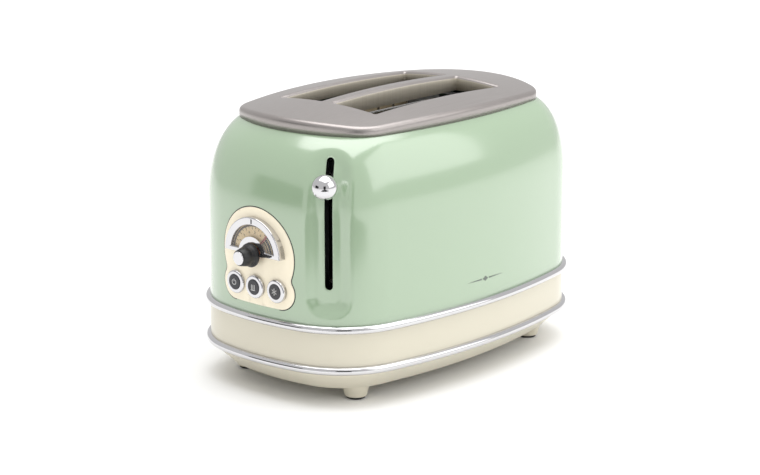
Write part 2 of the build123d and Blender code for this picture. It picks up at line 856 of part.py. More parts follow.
def slot_liner():
    """Black fork standing behind the lever slot, open at its top."""
    inner = liner_setback + liner_thickness
    start = lever_plane.offset(-inner)
    top = slot_high - liner_top_margin
    blank = Pos(0, (floor_top + top) / 2) * Rectangle(2 * liner_half_width, top - floor_top)
    gap_low = slot_low - slot_end_clearance
    gap = Pos(0, (gap_low + top) / 2 + 1) * Rectangle(2 * liner_gap, top - gap_low + 2)
    liner = extrude(start * (blank - gap), liner_thickness)
    toe = Pos(0, floor_top + liner_thickness / 2) * Rectangle(2 * liner_half_width, liner_thickness)
    return liner + extrude(start * toe, liner_thickness + liner_toe)


nodes["slot_liner"] = slot_liner()

# ---- Electromagnet and carriage switch ----
core_top = carriage_low - lever_travel - magnet_gap
core_high = link_front - magnet_setback
core_low = core_high - magnet_depth


def magnet_core():
    half = magnet_width / 2
    core = box_between((core_low, -half, floor_top), (core_high, half, core_top))
    for side in (-1, 1):
        core -= box_between((core_low - 1, side * magnet_middle, floor_top + magnet_yoke),
                            (core_high + 1, side * (half - magnet_leg), core_top + 1))
    return core


nodes["magnet_core"] = magnet_core()
coil = box_between((core_low - coil_end, -coil_half_width, floor_top + magnet_yoke + seat),
                   (core_high + coil_end / 2, coil_half_width, core_top - coil_drop))
nodes["magnet_coil"] = coil - box_between((core_low - seat, -magnet_middle - seat, floor_top),
                                          (core_high + seat, magnet_middle + seat, core_top))


contact_x = core_low + contact_setback
contact_y = slot_middle - contact_blade_thickness
contact_floor = floor_top + contact_block_height
nodes["switch_block"] = box_between(
    (contact_x - contact_block_width / 2, contact_y - contact_block_depth / 2, floor_top),
    (contact_x + contact_block_width / 2, contact_y + contact_block_depth / 2, contact_floor))


def contact_blade(n):
    y = contact_y + n * contact_pitch
    return box_between(
        (contact_x - contact_blade_width / 2, y - contact_blade_thickness / 2, contact_floor),
        (contact_x + contact_blade_width / 2, y + contact_blade_thickness / 2, core_top - contact_drop))


nodes["switch_contacts"] = group([contact_blade(n) for n in (-1, 0, 1)])

# ---- Control panel, dial, knob and buttons ----
button_places = [(button_spread, "cancel"), (0, "reheat"), (-button_spread, "defrost")]
boss_places = [(side * board_boss_spread, z) for side in (-1, 1) for z in (board_boss_low, board_boss_high)]


def toward_end(y, z, back, front, radius):
    """Cylinder along X at a place on the control end."""
    return bar_between((back, y, z), (front, y, z), radius)


def control_panel():
    outside = shell_form(-panel_proud, floor_level)
    inside = shell_form(shell_wall + panel_lip_thickness, floor_level)
    plug = (panel_prism(0) & outside) - inside
    lip = (panel_prism(panel_lip) & shell_form(shell_wall + seat, floor_level)) - inside
    panel = plug + lip
    for y, z in boss_places:
        panel += toward_end(y, z, board_face, surface_at(y) + shell_wall + 1, board_boss_radius)
        panel -= toward_end(y, z, board_face, board_face - 8, board_screw_radius)
    panel -= toward_end(0, dial_height, board_face, knob_front, knob_shaft_radius + shaft_clearance)
    for y, _ in button_places:
        panel -= toward_end(y, button_height, board_face, knob_front, button_radius + button_clearance)
    return panel


nodes["control_panel"] = control_panel()
panel_skin = shell_form(-panel_proud - seat, floor_level)


def half_disc(radius, bottom=0.0):
    """Disc about the knob axis, cut off level at a height above the axis."""
    return Circle(radius) & (Pos(0, radius + bottom) * Rectangle(4 * radius, 2 * radius))


def end_face(outline, front, depth):
    """Outline in (towards the viewer's right, up) about the knob axis, from front inward."""
    place = Plane(origin=(front + depth, 0, dial_height), x_dir=(0, -1, 0), z_dir=(-1, 0, 0))
    return extrude(place * outline, depth)


window_radius = dial_radius - dial_face


def dial_frame():
    window = half_disc(window_radius, dial_bar)
    ring = half_disc(dial_radius) - window - Circle(hub_bore)
    frame = end_face(ring, dial_front, dial_raise + 4)
    frame = fillet(frame.faces().sort_by(Axis.X)[0].outer_wire().edges(), 0.8)
    hub = half_disc(hub_radius) - Circle(hub_bore)
    frame += end_face(hub, dial_front, dial_raise - scale_raise - needle_thickness - 2 * knob_gap)
    return frame - panel_skin


def dial_scale():
    inner = half_disc(window_radius - seat, dial_bar + seat) - Circle(knob_shaft_radius + knob_gap)
    return end_face(inner, dial_front + dial_raise - scale_raise, dial_raise) - panel_skin


def dial_lens():
    outline = half_disc(window_radius - seat, dial_bar + seat) - half_disc(hub_radius + seat)
    back = scale_raise + needle_thickness + 2 * knob_gap
    return end_face(outline, dial_front + dial_raise - back - lens_thickness, lens_thickness) - panel_skin


nodes["dial_frame"] = dial_frame()
nodes["dial_scale"] = dial_scale()
nodes["dial_lens"] = dial_lens()

needle_back = dial_front + dial_raise - scale_raise - knob_gap
needle = Rot(0, 0, -needle_angle) * Pos(0, needle_reach / 2) * Rectangle(needle_width, needle_reach)
needle_outline = needle + Circle(needle_hub_radius) - Circle(knob_shaft_radius)
nodes["dial_needle"] = end_face(needle_outline, needle_back - needle_thickness, needle_thickness)

pot_face = board_face - pot_depth
shaft = toward_end(0, dial_height, pot_face - 0.2, knob_front + 4, knob_shaft_radius)
nodes["knob_shaft"] = shaft


def browning_knob():
    cone = Plane(origin=(knob_back, 0, dial_height), z_dir=(-1, 0, 0)) * Cone(
        knob_base_radius, knob_front_radius, knob_length, align=(Align.CENTER, Align.CENTER, Align.MIN))
    cone = fillet(cone.faces().sort_by(Axis.X)[0].edges(), 0.5)
    hub = toward_end(0, dial_height, knob_back, needle_back - needle_thickness, knob_shaft_radius + 2)
    root, tip = pointer_root_width / 2, pointer_tip_width / 2
    blade = Polygon((-root, 0), (root, 0), (tip, pointer_reach), (-tip, pointer_reach), align=None)
    pointer = end_face(Rot(0, 0, -pointer_angle) * blade, knob_back - pointer_thickness, pointer_thickness)
    return cone + pointer + hub - shaft


nodes["browning_knob"] = browning_knob()
knob_cap = toward_end(0, dial_height, knob_front, knob_tip, cap_radius)
nodes["knob_cap"] = fillet(knob_cap.faces().sort_by(Axis.X)[0].edges(), 0.4)


def button(y):
    surface = surface_at(y)
    flange_face = surface + button_flange_setback
    cap = toward_end(y, button_height, flange_face + button_flange, surface - button_proud, button_radius)
    cap = fillet(cap.faces().sort_by(Axis.X)[0].edges(), 0.6)
    cap += toward_end(y, button_height, flange_face + button_flange, flange_face, button_flange_radius)
    tip = board_face - switch_depth - switch_button - button_travel - 0.1
    return cap + toward_end(y, button_height, tip, flange_face + button_flange, plunger_radius)


def bezel(y):
    front = surface_at(y) - bezel_proud
    ring = toward_end(y, button_height, front + bezel_proud + 4, front, bezel_radius)
    ring = fillet(ring.faces().sort_by(Axis.X)[0].edges(), 1.3)
    ring -= toward_end(y, button_height, front + bezel_proud + 5, front - 1, button_radius + button_clearance)
    return ring - panel_skin


def button_spring(y):
    back = surface_at(y) + button_flange_setback + button_flange + 0.2
    stop = board_face - switch_depth - 0.2
    sleeve = toward_end(y, button_height, stop, back, plunger_radius + 1.4)
    return sleeve - toward_end(y, button_height, stop + 1, back - 1, plunger_radius + 0.4)


for place, name in button_places:
    nodes[f"{name}_button"] = button(place)
nodes["button_bezels"] = group([bezel(y) for y, _ in button_places])
nodes["button_springs"] = group([button_spring(y) for y, _ in button_places])


# ---- Circuit board ----
def circuit_board():
    board = box_between((board_face, -board_half_width, board_bottom),
                        (board_face + board_thickness, board_half_width, board_top))
    for y, z in boss_places:
        board -= toward_end(y, z, board_face - 1, board_face + board_thickness + 1, board_screw_radius + seat)
    return board


def board_components():
    half = pot_width / 2
    pot = box_between((board_face, -half, dial_height - half), (pot_face, half, dial_height + half))
    pieces = [pot]
    for y, _ in button_places:
        half = switch_width / 2
        body = box_between((board_face, y - half, button_height - half),
                           (board_face - switch_depth, y + half, button_height + half))
        pieces.append(body + toward_end(y, button_height, board_face - switch_depth - switch_button,
                                        board_face - switch_depth, switch_button_radius))
    for (y, z), (depth, wide, high) in ((relay_place, relay_size), (chip_place, chip_size)):
        pieces.append(box_between((board_face, y - wide / 2, z - high / 2),
                                  (board_face - depth, y + wide / 2, z + high / 2)))
    pieces.append(toward_end(*capacitor_place, board_face - capacitor_length, board_face, capacitor_radius))
    return group(pieces)


def board_screw(y, z):
    face = board_face + board_thickness
    head = toward_end(y, z, face + board_screw_head, face, board_screw_head_radius)
    return head + toward_end(y, z, face, board_face - 7, board_screw_radius)


nodes["circuit_board"] = circuit_board()
nodes["board_components"] = board_components()
nodes["board_screws"] = group([board_screw(y, z) for y, z in boss_places])

terminal_x = gland_x - terminal_setback
terminal_y = shield_offset + card_thickness + rib_proud + terminal_width / 2 + 2 * plate_side_margin
nodes["terminal_block"] = box_between(
    (terminal_x - terminal_length / 2, terminal_y - terminal_width / 2, floor_top),
    (terminal_x + terminal_length / 2, terminal_y + terminal_width / 2, floor_top + terminal_height))


# ---- Crumb tray: sheet pan with a front that closes the band at the rear end ----
def tray_front():
    piece = band_ring(band_low, band_high, band_wall) & front_window(0)
    face = body_half_length
    middle = (band_low + band_high) / 2
    pull = box_between((face - pull_root, -pull_half_width, middle - pull_thickness / 2),
                       (face + pull_depth, pull_half_width, middle + pull_thickness / 2))
    pull = fillet(pull.edges().filter_by(Axis.Z), pull_corner)
    pull -= body_prism(band_wall / 2, band_low - 1, band_high + 1)
    return piece + pull


def crumb_tray():
    back = -(body_half_length - tray_back_margin) + tray_end_gap
    outer = box_between((back, -tray_half_width, tray_bottom),
                        (ring_half_length, tray_half_width, tray_bottom + tray_wall_height))
    outer &= body_prism(band_wall + seat, tray_bottom - 1, band_high)
    inner = box_between((back + tray_sheet, -tray_half_width + tray_sheet, tray_bottom + tray_sheet),
                        (ring_half_length, tray_half_width - tray_sheet, tray_bottom + tray_wall_height + 1))
    inner &= body_prism(band_wall + tray_sheet, tray_bottom, band_high + 5)
    return outer - inner


nodes["tray_front"] = tray_front()
nodes["crumb_tray"] = crumb_tray()

# ---- Export: one file for each node, in the frame of the whole object ----
os.makedirs("parts", exist_ok=True)
for node_name, shape in nodes.items():
    export_step(Pos(housing_shift, 0, 0) * shape, f"parts/{node_name}.step")
print("housing shift", round(housing_shift, 4), "nodes", len(nodes))
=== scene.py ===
import bpy
import bmesh
import json
import math
from mathutils import Matrix, Vector
from mathutils.bvhtree import BVHTree


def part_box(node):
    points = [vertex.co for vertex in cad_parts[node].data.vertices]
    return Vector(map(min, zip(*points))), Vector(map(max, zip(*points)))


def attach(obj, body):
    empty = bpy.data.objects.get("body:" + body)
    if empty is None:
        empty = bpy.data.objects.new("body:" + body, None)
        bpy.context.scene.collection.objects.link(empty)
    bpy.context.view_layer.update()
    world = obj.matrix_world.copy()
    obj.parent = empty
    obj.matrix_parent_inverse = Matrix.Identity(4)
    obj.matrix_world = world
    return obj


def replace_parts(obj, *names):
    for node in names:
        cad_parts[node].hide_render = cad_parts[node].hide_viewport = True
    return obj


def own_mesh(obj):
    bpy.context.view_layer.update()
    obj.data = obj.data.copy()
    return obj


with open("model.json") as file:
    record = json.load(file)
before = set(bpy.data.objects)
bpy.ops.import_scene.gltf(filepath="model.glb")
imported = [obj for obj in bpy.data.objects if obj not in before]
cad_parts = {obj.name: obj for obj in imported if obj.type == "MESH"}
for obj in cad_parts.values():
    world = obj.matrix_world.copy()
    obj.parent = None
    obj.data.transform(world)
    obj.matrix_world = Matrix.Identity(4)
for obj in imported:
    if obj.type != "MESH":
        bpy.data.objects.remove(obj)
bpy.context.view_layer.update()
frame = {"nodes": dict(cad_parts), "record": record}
nodes = frame["nodes"]
bpy.context.scene.view_settings.view_transform = "Standard"
print("frame loaded")


# places taken from the frame
ringLow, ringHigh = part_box("upper_trim_ring")
middleX = (ringLow.x + ringHigh.x) / 2      # middle of the housing
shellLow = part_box("body_shell")[0]
knobLow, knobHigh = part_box("browning_knob")
knobHeight = (knobLow.z + knobHigh.z) / 2
rodLow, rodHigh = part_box("guide_rod")
rodMiddle = (rodLow + rodHigh) / 2


# camera, at the height of a seated viewer in front of the lever corner
camera = {
    "place": (-1.2014, -1.0649, 0.5090),
    "heading": 41.676,      # degrees from +X towards +Y
    "dip": 14.597,          # degrees below the horizon
    "roll": -0.09,
    "lens": 104.19,
    "sensor": 36.0,
}


def makeCamera(c):
    data = bpy.data.cameras.new("camera")
    data.lens = c["lens"]
    data.sensor_width = c["sensor"]
    data.sensor_fit = "HORIZONTAL"
    data.clip_start = 0.05
    data.clip_end = 60.0
    eye = bpy.data.objects.new("camera", data)
    bpy.context.scene.collection.objects.link(eye)
    heading, dip = math.radians(c["heading"]), math.radians(c["dip"])
    look = Vector((math.cos(heading) * math.cos(dip), math.sin(heading) * math.cos(dip), -math.sin(dip)))
    turn = look.to_track_quat("-Z", "Y") @ Matrix.Rotation(math.radians(c["roll"]), 3, "Z").to_quaternion()
    eye.rotation_mode = "QUATERNION"
    eye.rotation_quaternion = turn
    eye.location = c["place"]
    bpy.context.scene.camera = eye


makeCamera(camera)
print("camera")


# shared effects, each a shader node group
def startGroup(name, inputs, outputs):
    group = bpy.data.node_groups.new(name, "ShaderNodeTree")
    for label, kind, value in inputs:
        socket = group.interface.new_socket(name=label, in_out="INPUT", socket_type=kind)
        if value is not None:
            socket.default_value = value
    for label, kind in outputs:
        group.interface.new_socket(name=label, in_out="OUTPUT", socket_type=kind)
    return group, group.nodes.new("NodeGroupInput"), group.nodes.new("NodeGroupOutput")


def makeNoise(group, vector, scale, detail=3.0):
    noise = group.nodes.new("ShaderNodeTexNoise")
    noise.inputs["Detail"].default_value = detail
    group.links.new(vector, noise.inputs["Vector"])
    if isinstance(scale, (int, float)):
        noise.inputs["Scale"].default_value = scale
    else:
        group.links.new(scale, noise.inputs["Scale"])
    return noise.outputs["Fac"]


def makeHandledGloss():     # roughness that drifts, as on a surface that hands have touched
    group, source, result = startGroup(
        "handledGloss",
        [("Vector", "NodeSocketVector", None), ("Scale", "NodeSocketFloat", 20.0),
         ("Polished", "NodeSocketFloat", 0.1), ("Dulled", "NodeSocketFloat", 0.2)],
        [("Roughness", "NodeSocketFloat")])
    spread = group.nodes.new("ShaderNodeMapRange")
    spread.inputs["From Min"].default_value = 0.0
    spread.inputs["From Max"].default_value = 1.0
    smudge = makeNoise(group, source.outputs["Vector"], source.outputs["Scale"])
    group.links.new(smudge, spread.inputs["Value"])
    group.links.new(source.outputs["Polished"], spread.inputs["To Min"])
    group.links.new(source.outputs["Dulled"], spread.inputs["To Max"])
    group.links.new(spread.outputs["Result"], result.inputs["Roughness"])
    return group


def makeToneDrift():        # colour that drifts a little over a piece
    group, source, result = startGroup(
        "toneDrift",
        [("Vector", "NodeSocketVector", None), ("Scale", "NodeSocketFloat", 12.0),
         ("Colour", "NodeSocketColor", (0.8, 0.8, 0.8, 1)), ("Shade", "NodeSocketColor", (0.7, 0.7, 0.7, 1))],
        [("Color", "NodeSocketColor")])
    mix = group.nodes.new("ShaderNodeMix")
    mix.data_type = "RGBA"
    group.links.new(makeNoise(group, source.outputs["Vector"], source.outputs["Scale"]), mix.inputs["Factor"])
    group.links.new(source.outputs["Colour"], mix.inputs["A"])
    group.links.new(source.outputs["Shade"], mix.inputs["B"])
    group.links.new(mix.outputs["Result"], result.inputs["Color"])
    return group


def makeFineRipple():       # height of paint ripple or moulded grain
    group, source, result = startGroup(
        "fineRipple",
        [("Vector", "NodeSocketVector", None), ("Scale", "NodeSocketFloat", 300.0)],
        [("Height", "NodeSocketFloat")])
    group.links.new(makeNoise(group, source.outputs["Vector"], source.outputs["Scale"], 2.0),
                    result.inputs["Height"])
    return group


def makeBrushedGrain():     # fine scratches along a direction, with a tone for each scratch
    group, source, result = startGroup(
        "brushedGrain",
        [("Vector", "NodeSocketVector", None), ("Stretch", "NodeSocketVector", (6.0, 1200.0, 1200.0)),
         ("Colour", "NodeSocketColor", (0.8, 0.8, 0.8, 1)), ("Shade", "NodeSocketColor", (0.7, 0.7, 0.7, 1))],
        [("Height", "NodeSocketFloat"), ("Color", "NodeSocketColor")])
    stretch = group.nodes.new("ShaderNodeVectorMath")
    stretch.operation = "MULTIPLY"
    group.links.new(source.outputs["Vector"], stretch.inputs[0])
    group.links.new(source.outputs["Stretch"], stretch.inputs[1])
    scratch = makeNoise(group, stretch.outputs["Vector"], 1.0, 4.0)
    mix = group.nodes.new("ShaderNodeMix")
    mix.data_type = "RGBA"
    group.links.new(scratch, mix.inputs["Factor"])
    group.links.new(source.outputs["Colour"], mix.inputs["A"])
    group.links.new(source.outputs["Shade"], mix.inputs["B"])
    group.links.new(scratch, result.inputs["Height"])
    group.links.new(mix.outputs["Result"], result.inputs["Color"])
    return group


handledGloss = makeHandledGloss()
toneDrift = makeToneDrift()
fineRipple = makeFineRipple()
brushedGrain = makeBrushedGrain()
print("shared effects")


def linear(colour):         # colour given as 0 to 255 on screen, made linear
    def channel(value):
        share = value / 255
        return share / 12.92 if share <= 0.04045 else ((share + 0.055) / 1.055) ** 2.4
    return (*[channel(value) for value in colour], 1)


def startFinish(name):
    finish = bpy.data.materials.new(name)
    finish.use_nodes = True
    tree = finish.node_tree
    shader = tree.nodes["Principled BSDF"]
    where = tree.nodes.new("ShaderNodeTexCoord").outputs["Object"]
    return finish, tree, shader, where


def placeEffect(tree, group, where, **values):
    effect = tree.nodes.new("ShaderNodeGroup")
    effect.node_tree = group
    tree.links.new(where, effect.inputs["Vector"])
    for label, value in values.items():
        effect.inputs[label].default_value = value
    return effect


def addBump(tree, shader, height, strength, distance):
    bump = tree.nodes.new("ShaderNodeBump")
    bump.inputs["Strength"].default_value = strength
    bump.inputs["Distance"].default_value = distance
    tree.links.new(height, bump.inputs["Height"])
    tree.links.new(bump.outputs["Normal"], shader.inputs["Normal"])


def makeSmoothFinish(name, f):      # paint, plastic, rubber or plated metal
    finish, tree, shader, where = startFinish(name)
    tone = placeEffect(tree, toneDrift, where, Scale=f["driftScale"],
                       Colour=linear(f["colour"]), Shade=linear(f["shade"]))
    tree.links.new(tone.outputs["Color"], shader.inputs["Base Color"])
    gloss = placeEffect(tree, handledGloss, where, Scale=f["smudgeScale"],
                        Polished=f["polished"], Dulled=f["dulled"])
    tree.links.new(gloss.outputs["Roughness"], shader.inputs["Roughness"])
    ripple = placeEffect(tree, fineRipple, where, Scale=f["grainScale"])
    addBump(tree, shader, ripple.outputs["Height"], f["grainStrength"], f["grainDepth"])
    shader.inputs["Metallic"].default_value = f.get("metallic", 0.0)
    shader.inputs["Coat Weight"].default_value = f.get("coat", 0.0)
    shader.inputs["Coat Roughness"].default_value = f.get("coatRoughness", 0.03)
    shader.inputs["Coat IOR"].default_value = f.get("coatIndex", 1.5)
    shader.inputs["Specular IOR Level"].default_value = f.get("specular", 0.5)
    return finish


def makeBrushedFinish(name, f):     # rolled or brushed sheet, drawn wire
    finish, tree, shader, where = startFinish(name)
    grain = placeEffect(tree, brushedGrain, where, Stretch=f["stretch"],
                        Colour=linear(f["colour"]), Shade=linear(f["shade"]))
    tree.links.new(grain.outputs["Color"], shader.inputs["Base Color"])
    gloss = placeEffect(tree, handledGloss, where, Scale=f["smudgeScale"],
                        Polished=f["polished"], Dulled=f["dulled"])
    tree.links.new(gloss.outputs["Roughness"], shader.inputs["Roughness"])
    addBump(tree, shader, grain.outputs["Height"], f["grainStrength"], f["grainDepth"])
    shader.inputs["Metallic"].default_value = f.get("metallic", 1.0)
    return finish


smoothFinishes = {
    "mint_paint": dict(colour=(154, 177, 147), shade=(151, 174, 144), driftScale=6, smudgeScale=9,
                       polished=0.22, dulled=0.3, grainScale=420, grainStrength=0.04, grainDepth=0.0002,
                       coat=1.0, coatRoughness=0.14, coatIndex=1.95),
    "chrome_trim": dict(colour=(216, 215, 217), shade=(207, 206, 208), driftScale=30, smudgeScale=40,
                        polished=0.07, dulled=0.13, grainScale=700, grainStrength=0.03, grainDepth=0.0001,
                        metallic=1.0),
    "cream_plastic": dict(colour=(214, 208, 190), shade=(210, 204, 185), driftScale=8, smudgeScale=14,
                          polished=0.26, dulled=0.36, grainScale=240, grainStrength=0.02, grainDepth=0.0001,
                          coat=0.3, coatRoughness=0.16),
    "panel_cream": dict(colour=(250, 240, 216), shade=(246, 235, 210), driftScale=25, smudgeScale=30,
                        polished=0.28, dulled=0.4, grainScale=800, grainStrength=0.1, grainDepth=0.0001,
                        coat=0.3, coatRoughness=0.15),
    "rubber_pad": dict(colour=(46, 46, 45), shade=(60, 59, 57), driftScale=60, smudgeScale=80, polished=0.7,
                       dulled=0.9, grainScale=1500, grainStrength=0.3, grainDepth=0.0003),
    "black_plastic": dict(colour=(22, 22, 23), shade=(29, 29, 30), driftScale=50, smudgeScale=60,
                          polished=0.3, dulled=0.45, grainScale=1600, grainStrength=0.25, grainDepth=0.0002),
    "dark_button": dict(colour=(52, 52, 56), shade=(60, 60, 63), driftScale=90, smudgeScale=120,
                        polished=0.35, dulled=0.5, grainScale=2200, grainStrength=0.25, grainDepth=0.0001),
    "button_mark": dict(colour=(205, 205, 203), shade=(190, 190, 188), driftScale=200, smudgeScale=200,
                        polished=0.4, dulled=0.55, grainScale=3000, grainStrength=0.1, grainDepth=0.0001),
    "iron_core": dict(colour=(92, 90, 90), shade=(70, 66, 63), driftScale=120, smudgeScale=100, polished=0.4,
                      dulled=0.65, grainScale=900, grainStrength=0.3, grainDepth=0.0003, metallic=1.0),
    "phenolic": dict(colour=(88, 56, 40), shade=(70, 42, 30), driftScale=90, smudgeScale=60, polished=0.35,
                     dulled=0.5, grainScale=1200, grainStrength=0.2, grainDepth=0.0002),
    "mica_card": dict(colour=(196, 182, 152), shade=(158, 140, 110), driftScale=130, smudgeScale=50,
                      polished=0.25, dulled=0.6, grainScale=500, grainStrength=0.3, grainDepth=0.0002,
                      coat=0.3, coatRoughness=0.2),
    "dial_face": dict(colour=(226, 203, 158), shade=(215, 188, 140), driftScale=120, smudgeScale=100,
                      polished=0.4, dulled=0.55, grainScale=2500, grainStrength=0.1, grainDepth=0.0001),
    # dark brown print for the ticks and numbers, also used as painted shadow of the frame round the dial's
    # rim
    "dial_ink_and_shadow": dict(colour=(66, 50, 38), shade=(52, 40, 30), driftScale=200, smudgeScale=150, polished=0.4,
                     dulled=0.6, grainScale=3000, grainStrength=0.1, grainDepth=0.0001),
    "dial_shade": dict(colour=(26, 26, 24), shade=(18, 18, 17), driftScale=200, smudgeScale=150,
                       polished=0.25, dulled=0.4, grainScale=3000, grainStrength=0.1, grainDepth=0.0001),
    "needle_red": dict(colour=(150, 74, 56), shade=(134, 60, 46), driftScale=200, smudgeScale=150,
                       polished=0.25, dulled=0.4, grainScale=2500, grainStrength=0.1, grainDepth=0.0001),
    "board_laminate": dict(colour=(74, 104, 62), shade=(60, 88, 50), driftScale=300, smudgeScale=90,
                           polished=0.3, dulled=0.5, grainScale=2600, grainStrength=0.25, grainDepth=0.0002),
    "ornament_grey": dict(colour=(112, 120, 112), shade=(100, 108, 100), driftScale=90, smudgeScale=90,
                          polished=0.3, dulled=0.45, grainScale=1800, grainStrength=0.1, grainDepth=0.0001),
}
alongX = (14.0, 1500.0, 1500.0)
brushedFinishes = {
    "brushed_plate": dict(colour=(172, 166, 164), shade=(152, 146, 143), stretch=alongX, smudgeScale=10,
                          polished=0.28, dulled=0.36, grainStrength=0.12, grainDepth=0.0002, metallic=0.8),
    "slot_steel": dict(colour=(214, 208, 194), shade=(176, 168, 152), stretch=(1500.0, 1500.0, 20.0),
                       smudgeScale=12, polished=0.35, dulled=0.5, grainStrength=0.2, grainDepth=0.0002,
                       metallic=0.35),
    "zinc_steel": dict(colour=(178, 180, 184), shade=(150, 152, 156), stretch=(60.0, 60.0, 60.0),
                       smudgeScale=60, polished=0.3, dulled=0.5, grainStrength=0.15, grainDepth=0.0002,
                       metallic=0.7),
    "wire_steel": dict(colour=(205, 205, 205), shade=(176, 176, 175), stretch=(40.0, 900.0, 40.0),
                       smudgeScale=80, polished=0.15, dulled=0.3, grainStrength=0.08, grainDepth=0.0001),
    "heater_ribbon": dict(colour=(150, 140, 132), shade=(104, 92, 86), stretch=(30.0, 600.0, 2500.0),
                          smudgeScale=90, polished=0.35, dulled=0.6, grainStrength=0.15, grainDepth=0.0001),
    "copper_wire": dict(colour=(204, 126, 78), shade=(150, 78, 44), stretch=(20.0, 20.0, 4000.0),
                        smudgeScale=90, polished=0.2, dulled=0.4, grainStrength=0.6, grainDepth=0.0004),
    "brass_contact": dict(colour=(214, 182, 112), shade=(190, 154, 86), stretch=(500.0, 500.0, 30.0),
                          smudgeScale=150, polished=0.2, dulled=0.4, grainStrength=0.1, grainDepth=0.0001),
}
finishes = {name: makeSmoothFinish(name, f) for name, f in smoothFinishes.items()}
finishes.update({name: makeBrushedFinish(name, f) for name, f in brushedFinishes.items()})


def makeClearLens():     # thin clear cover, mostly seen by its gloss
    finish, tree, shader, where = startFinish("clear_lens")
    gloss = placeEffect(tree, handledGloss, where, Scale=150.0, Polished=0.0, Dulled=0.05)
    tree.links.new(gloss.outputs["Roughness"], shader.inputs["Roughness"])
    shader.inputs["Base Color"].default_value = (1, 1, 1, 1)
    shader.inputs["Alpha"].default_value = 0.07
    return finish


finishes["clear_lens"] = makeClearLens()
print("finishes", len(finishes))


# small modelling helpers
def addPiece(name, bm, body, slotName, finishName=None, smoothAngle=35):
    mesh = bpy.data.meshes.new(name)
    bm.to_mesh(mesh)
    bm.free()
    return addMesh(name, mesh, body, slotName, finishName, smoothAngle)


def addMesh(name, mesh, body, slotName, finishName=None, smoothAngle=35):
    mesh.materials.clear()
    mesh.materials.append(finishes[finishName or slotName])
    mesh.shade_smooth()
    mesh.set_sharp_from_angle(angle=math.radians(smoothAngle))
    piece = bpy.data.objects.new(name, mesh)
    bpy.context.scene.collection.objects.link(piece)
    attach(piece, body)
    return piece


def finishedMesh(piece):        # the piece's mesh with its modifiers applied
    graph = bpy.context.evaluated_depsgraph_get()
    return bpy.data.meshes.new_from_object(piece.evaluated_get(graph))


def pairs(loop):
    return list(zip(loop, loop[1:] + loop[:1]))


def startLoop(bm, points):
    loop = [bm.verts.new(point) for point in points]
    for pair in pairs(loop):
        bm.edges.new(pair)
    return loop


def growLoop(bm, loop, points):     # extrudes a closed loop to new places
    edges = [bm.edges.get(pair) for pair in pairs(loop)]
    made = bmesh.ops.extrude_edge_only(bm, edges=edges)["geom"]
    fresh = {part for part in made if isinstance(part, bmesh.types.BMVert)}
    grown = [next(e.other_vert(v) for e in v.link_edges if e.other_vert(v) in fresh) for v in loop]
    for vert, point in zip(grown, points):
        vert.co = point
    return grown


def closeBand(bm, first, last):     # joins the last loop of a ring section to the first
    for (a, b), (c, d) in zip(pairs(first), pairs(last)):
        bm.faces.new((a, b, d, c))


def turned(profile, steps=64):      # (radius, height) pairs spun about Z
    bm = bmesh.new()
    verts = [bm.verts.new((radius, 0, height)) for radius, height in profile]
    edges = [bm.edges.new(pair) for pair in zip(verts, verts[1:])]
    bmesh.ops.spin(bm, geom=verts + edges, cent=(0, 0, 0), axis=(0, 0, 1), dvec=(0, 0, 0),
                   angle=2 * math.pi, steps=steps, use_merge=True, use_duplicate=False)
    bmesh.ops.remove_doubles(bm, verts=bm.verts, dist=1e-7)
    bmesh.ops.recalc_face_normals(bm, faces=bm.faces)
    return bm


def slab(bm, outline, low, high):   # a flat outline given thickness along Z
    face = bm.faces.new([bm.verts.new((x, y, low)) for x, y in outline])
    made = bmesh.ops.extrude_face_region(bm, geom=[face])["geom"]
    for part in made:
        if isinstance(part, bmesh.types.BMVert):
            part.co.z = high


def arcPoints(centre, radius, start, end, steps):
    turns = [math.radians(start + (end - start) * n / steps) for n in range(steps + 1)]
    return [(centre[0] + radius * math.cos(t), centre[1] + radius * math.sin(t)) for t in turns]


def circlePoints(centre, radius, steps):
    return arcPoints(centre, radius, 0, 360, steps)[:-1]


def facingEnd(x, y, z):     # local X to the viewer's right, Y up, Z out of the control end
    return Matrix.Translation((x, y, z)) @ Matrix(((0, 0, -1), (-1, 0, 0), (0, 1, 0))).to_4x4()


def smoothCopy(node, body, slotName, name=None, smoothAngle=32):
    bm = bmesh.new()
    bm.from_mesh(nodes[node].data)
    bmesh.ops.remove_doubles(bm, verts=bm.verts, dist=2e-6)
    bmesh.ops.dissolve_degenerate(bm, dist=1e-6, edges=bm.edges)
    bmesh.ops.dissolve_limit(bm, angle_limit=math.radians(0.4), verts=bm.verts, edges=bm.edges)
    piece = addPiece(name or node + ".skin", bm, body, slotName, smoothAngle=smoothAngle)
    even = piece.modifiers.new("even", "WEIGHTED_NORMAL")
    even.keep_sharp = True
    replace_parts(piece, node)
    return piece


# plan outlines made of tangent arcs, followed by the direction that they face
def planShape(halfLength, halfWidth, endRadius, sideRadius, cornerRadius):
    endCentre, sideCentre = halfLength - endRadius, halfWidth - sideRadius
    fromEnd, fromSide = endRadius - cornerRadius, sideRadius - cornerRadius
    span = math.hypot(endCentre, sideCentre)
    along = (fromEnd ** 2 - fromSide ** 2 + span ** 2) / (2 * span)
    across = math.sqrt(fromEnd ** 2 - along ** 2)
    towardX, towardY = -endCentre / span, sideCentre / span
    corner = Vector((endCentre + along * towardX - across * towardY, along * towardY + across * towardX))
    return {
        "arcs": [(Vector((endCentre, 0)), endRadius), (corner, cornerRadius),
                 (Vector((0, sideCentre)), sideRadius)],
        "endTurn": math.atan2(corner.y, corner.x - endCentre),
        "sideTurn": math.atan2(corner.y - sideCentre, corner.x),
    }


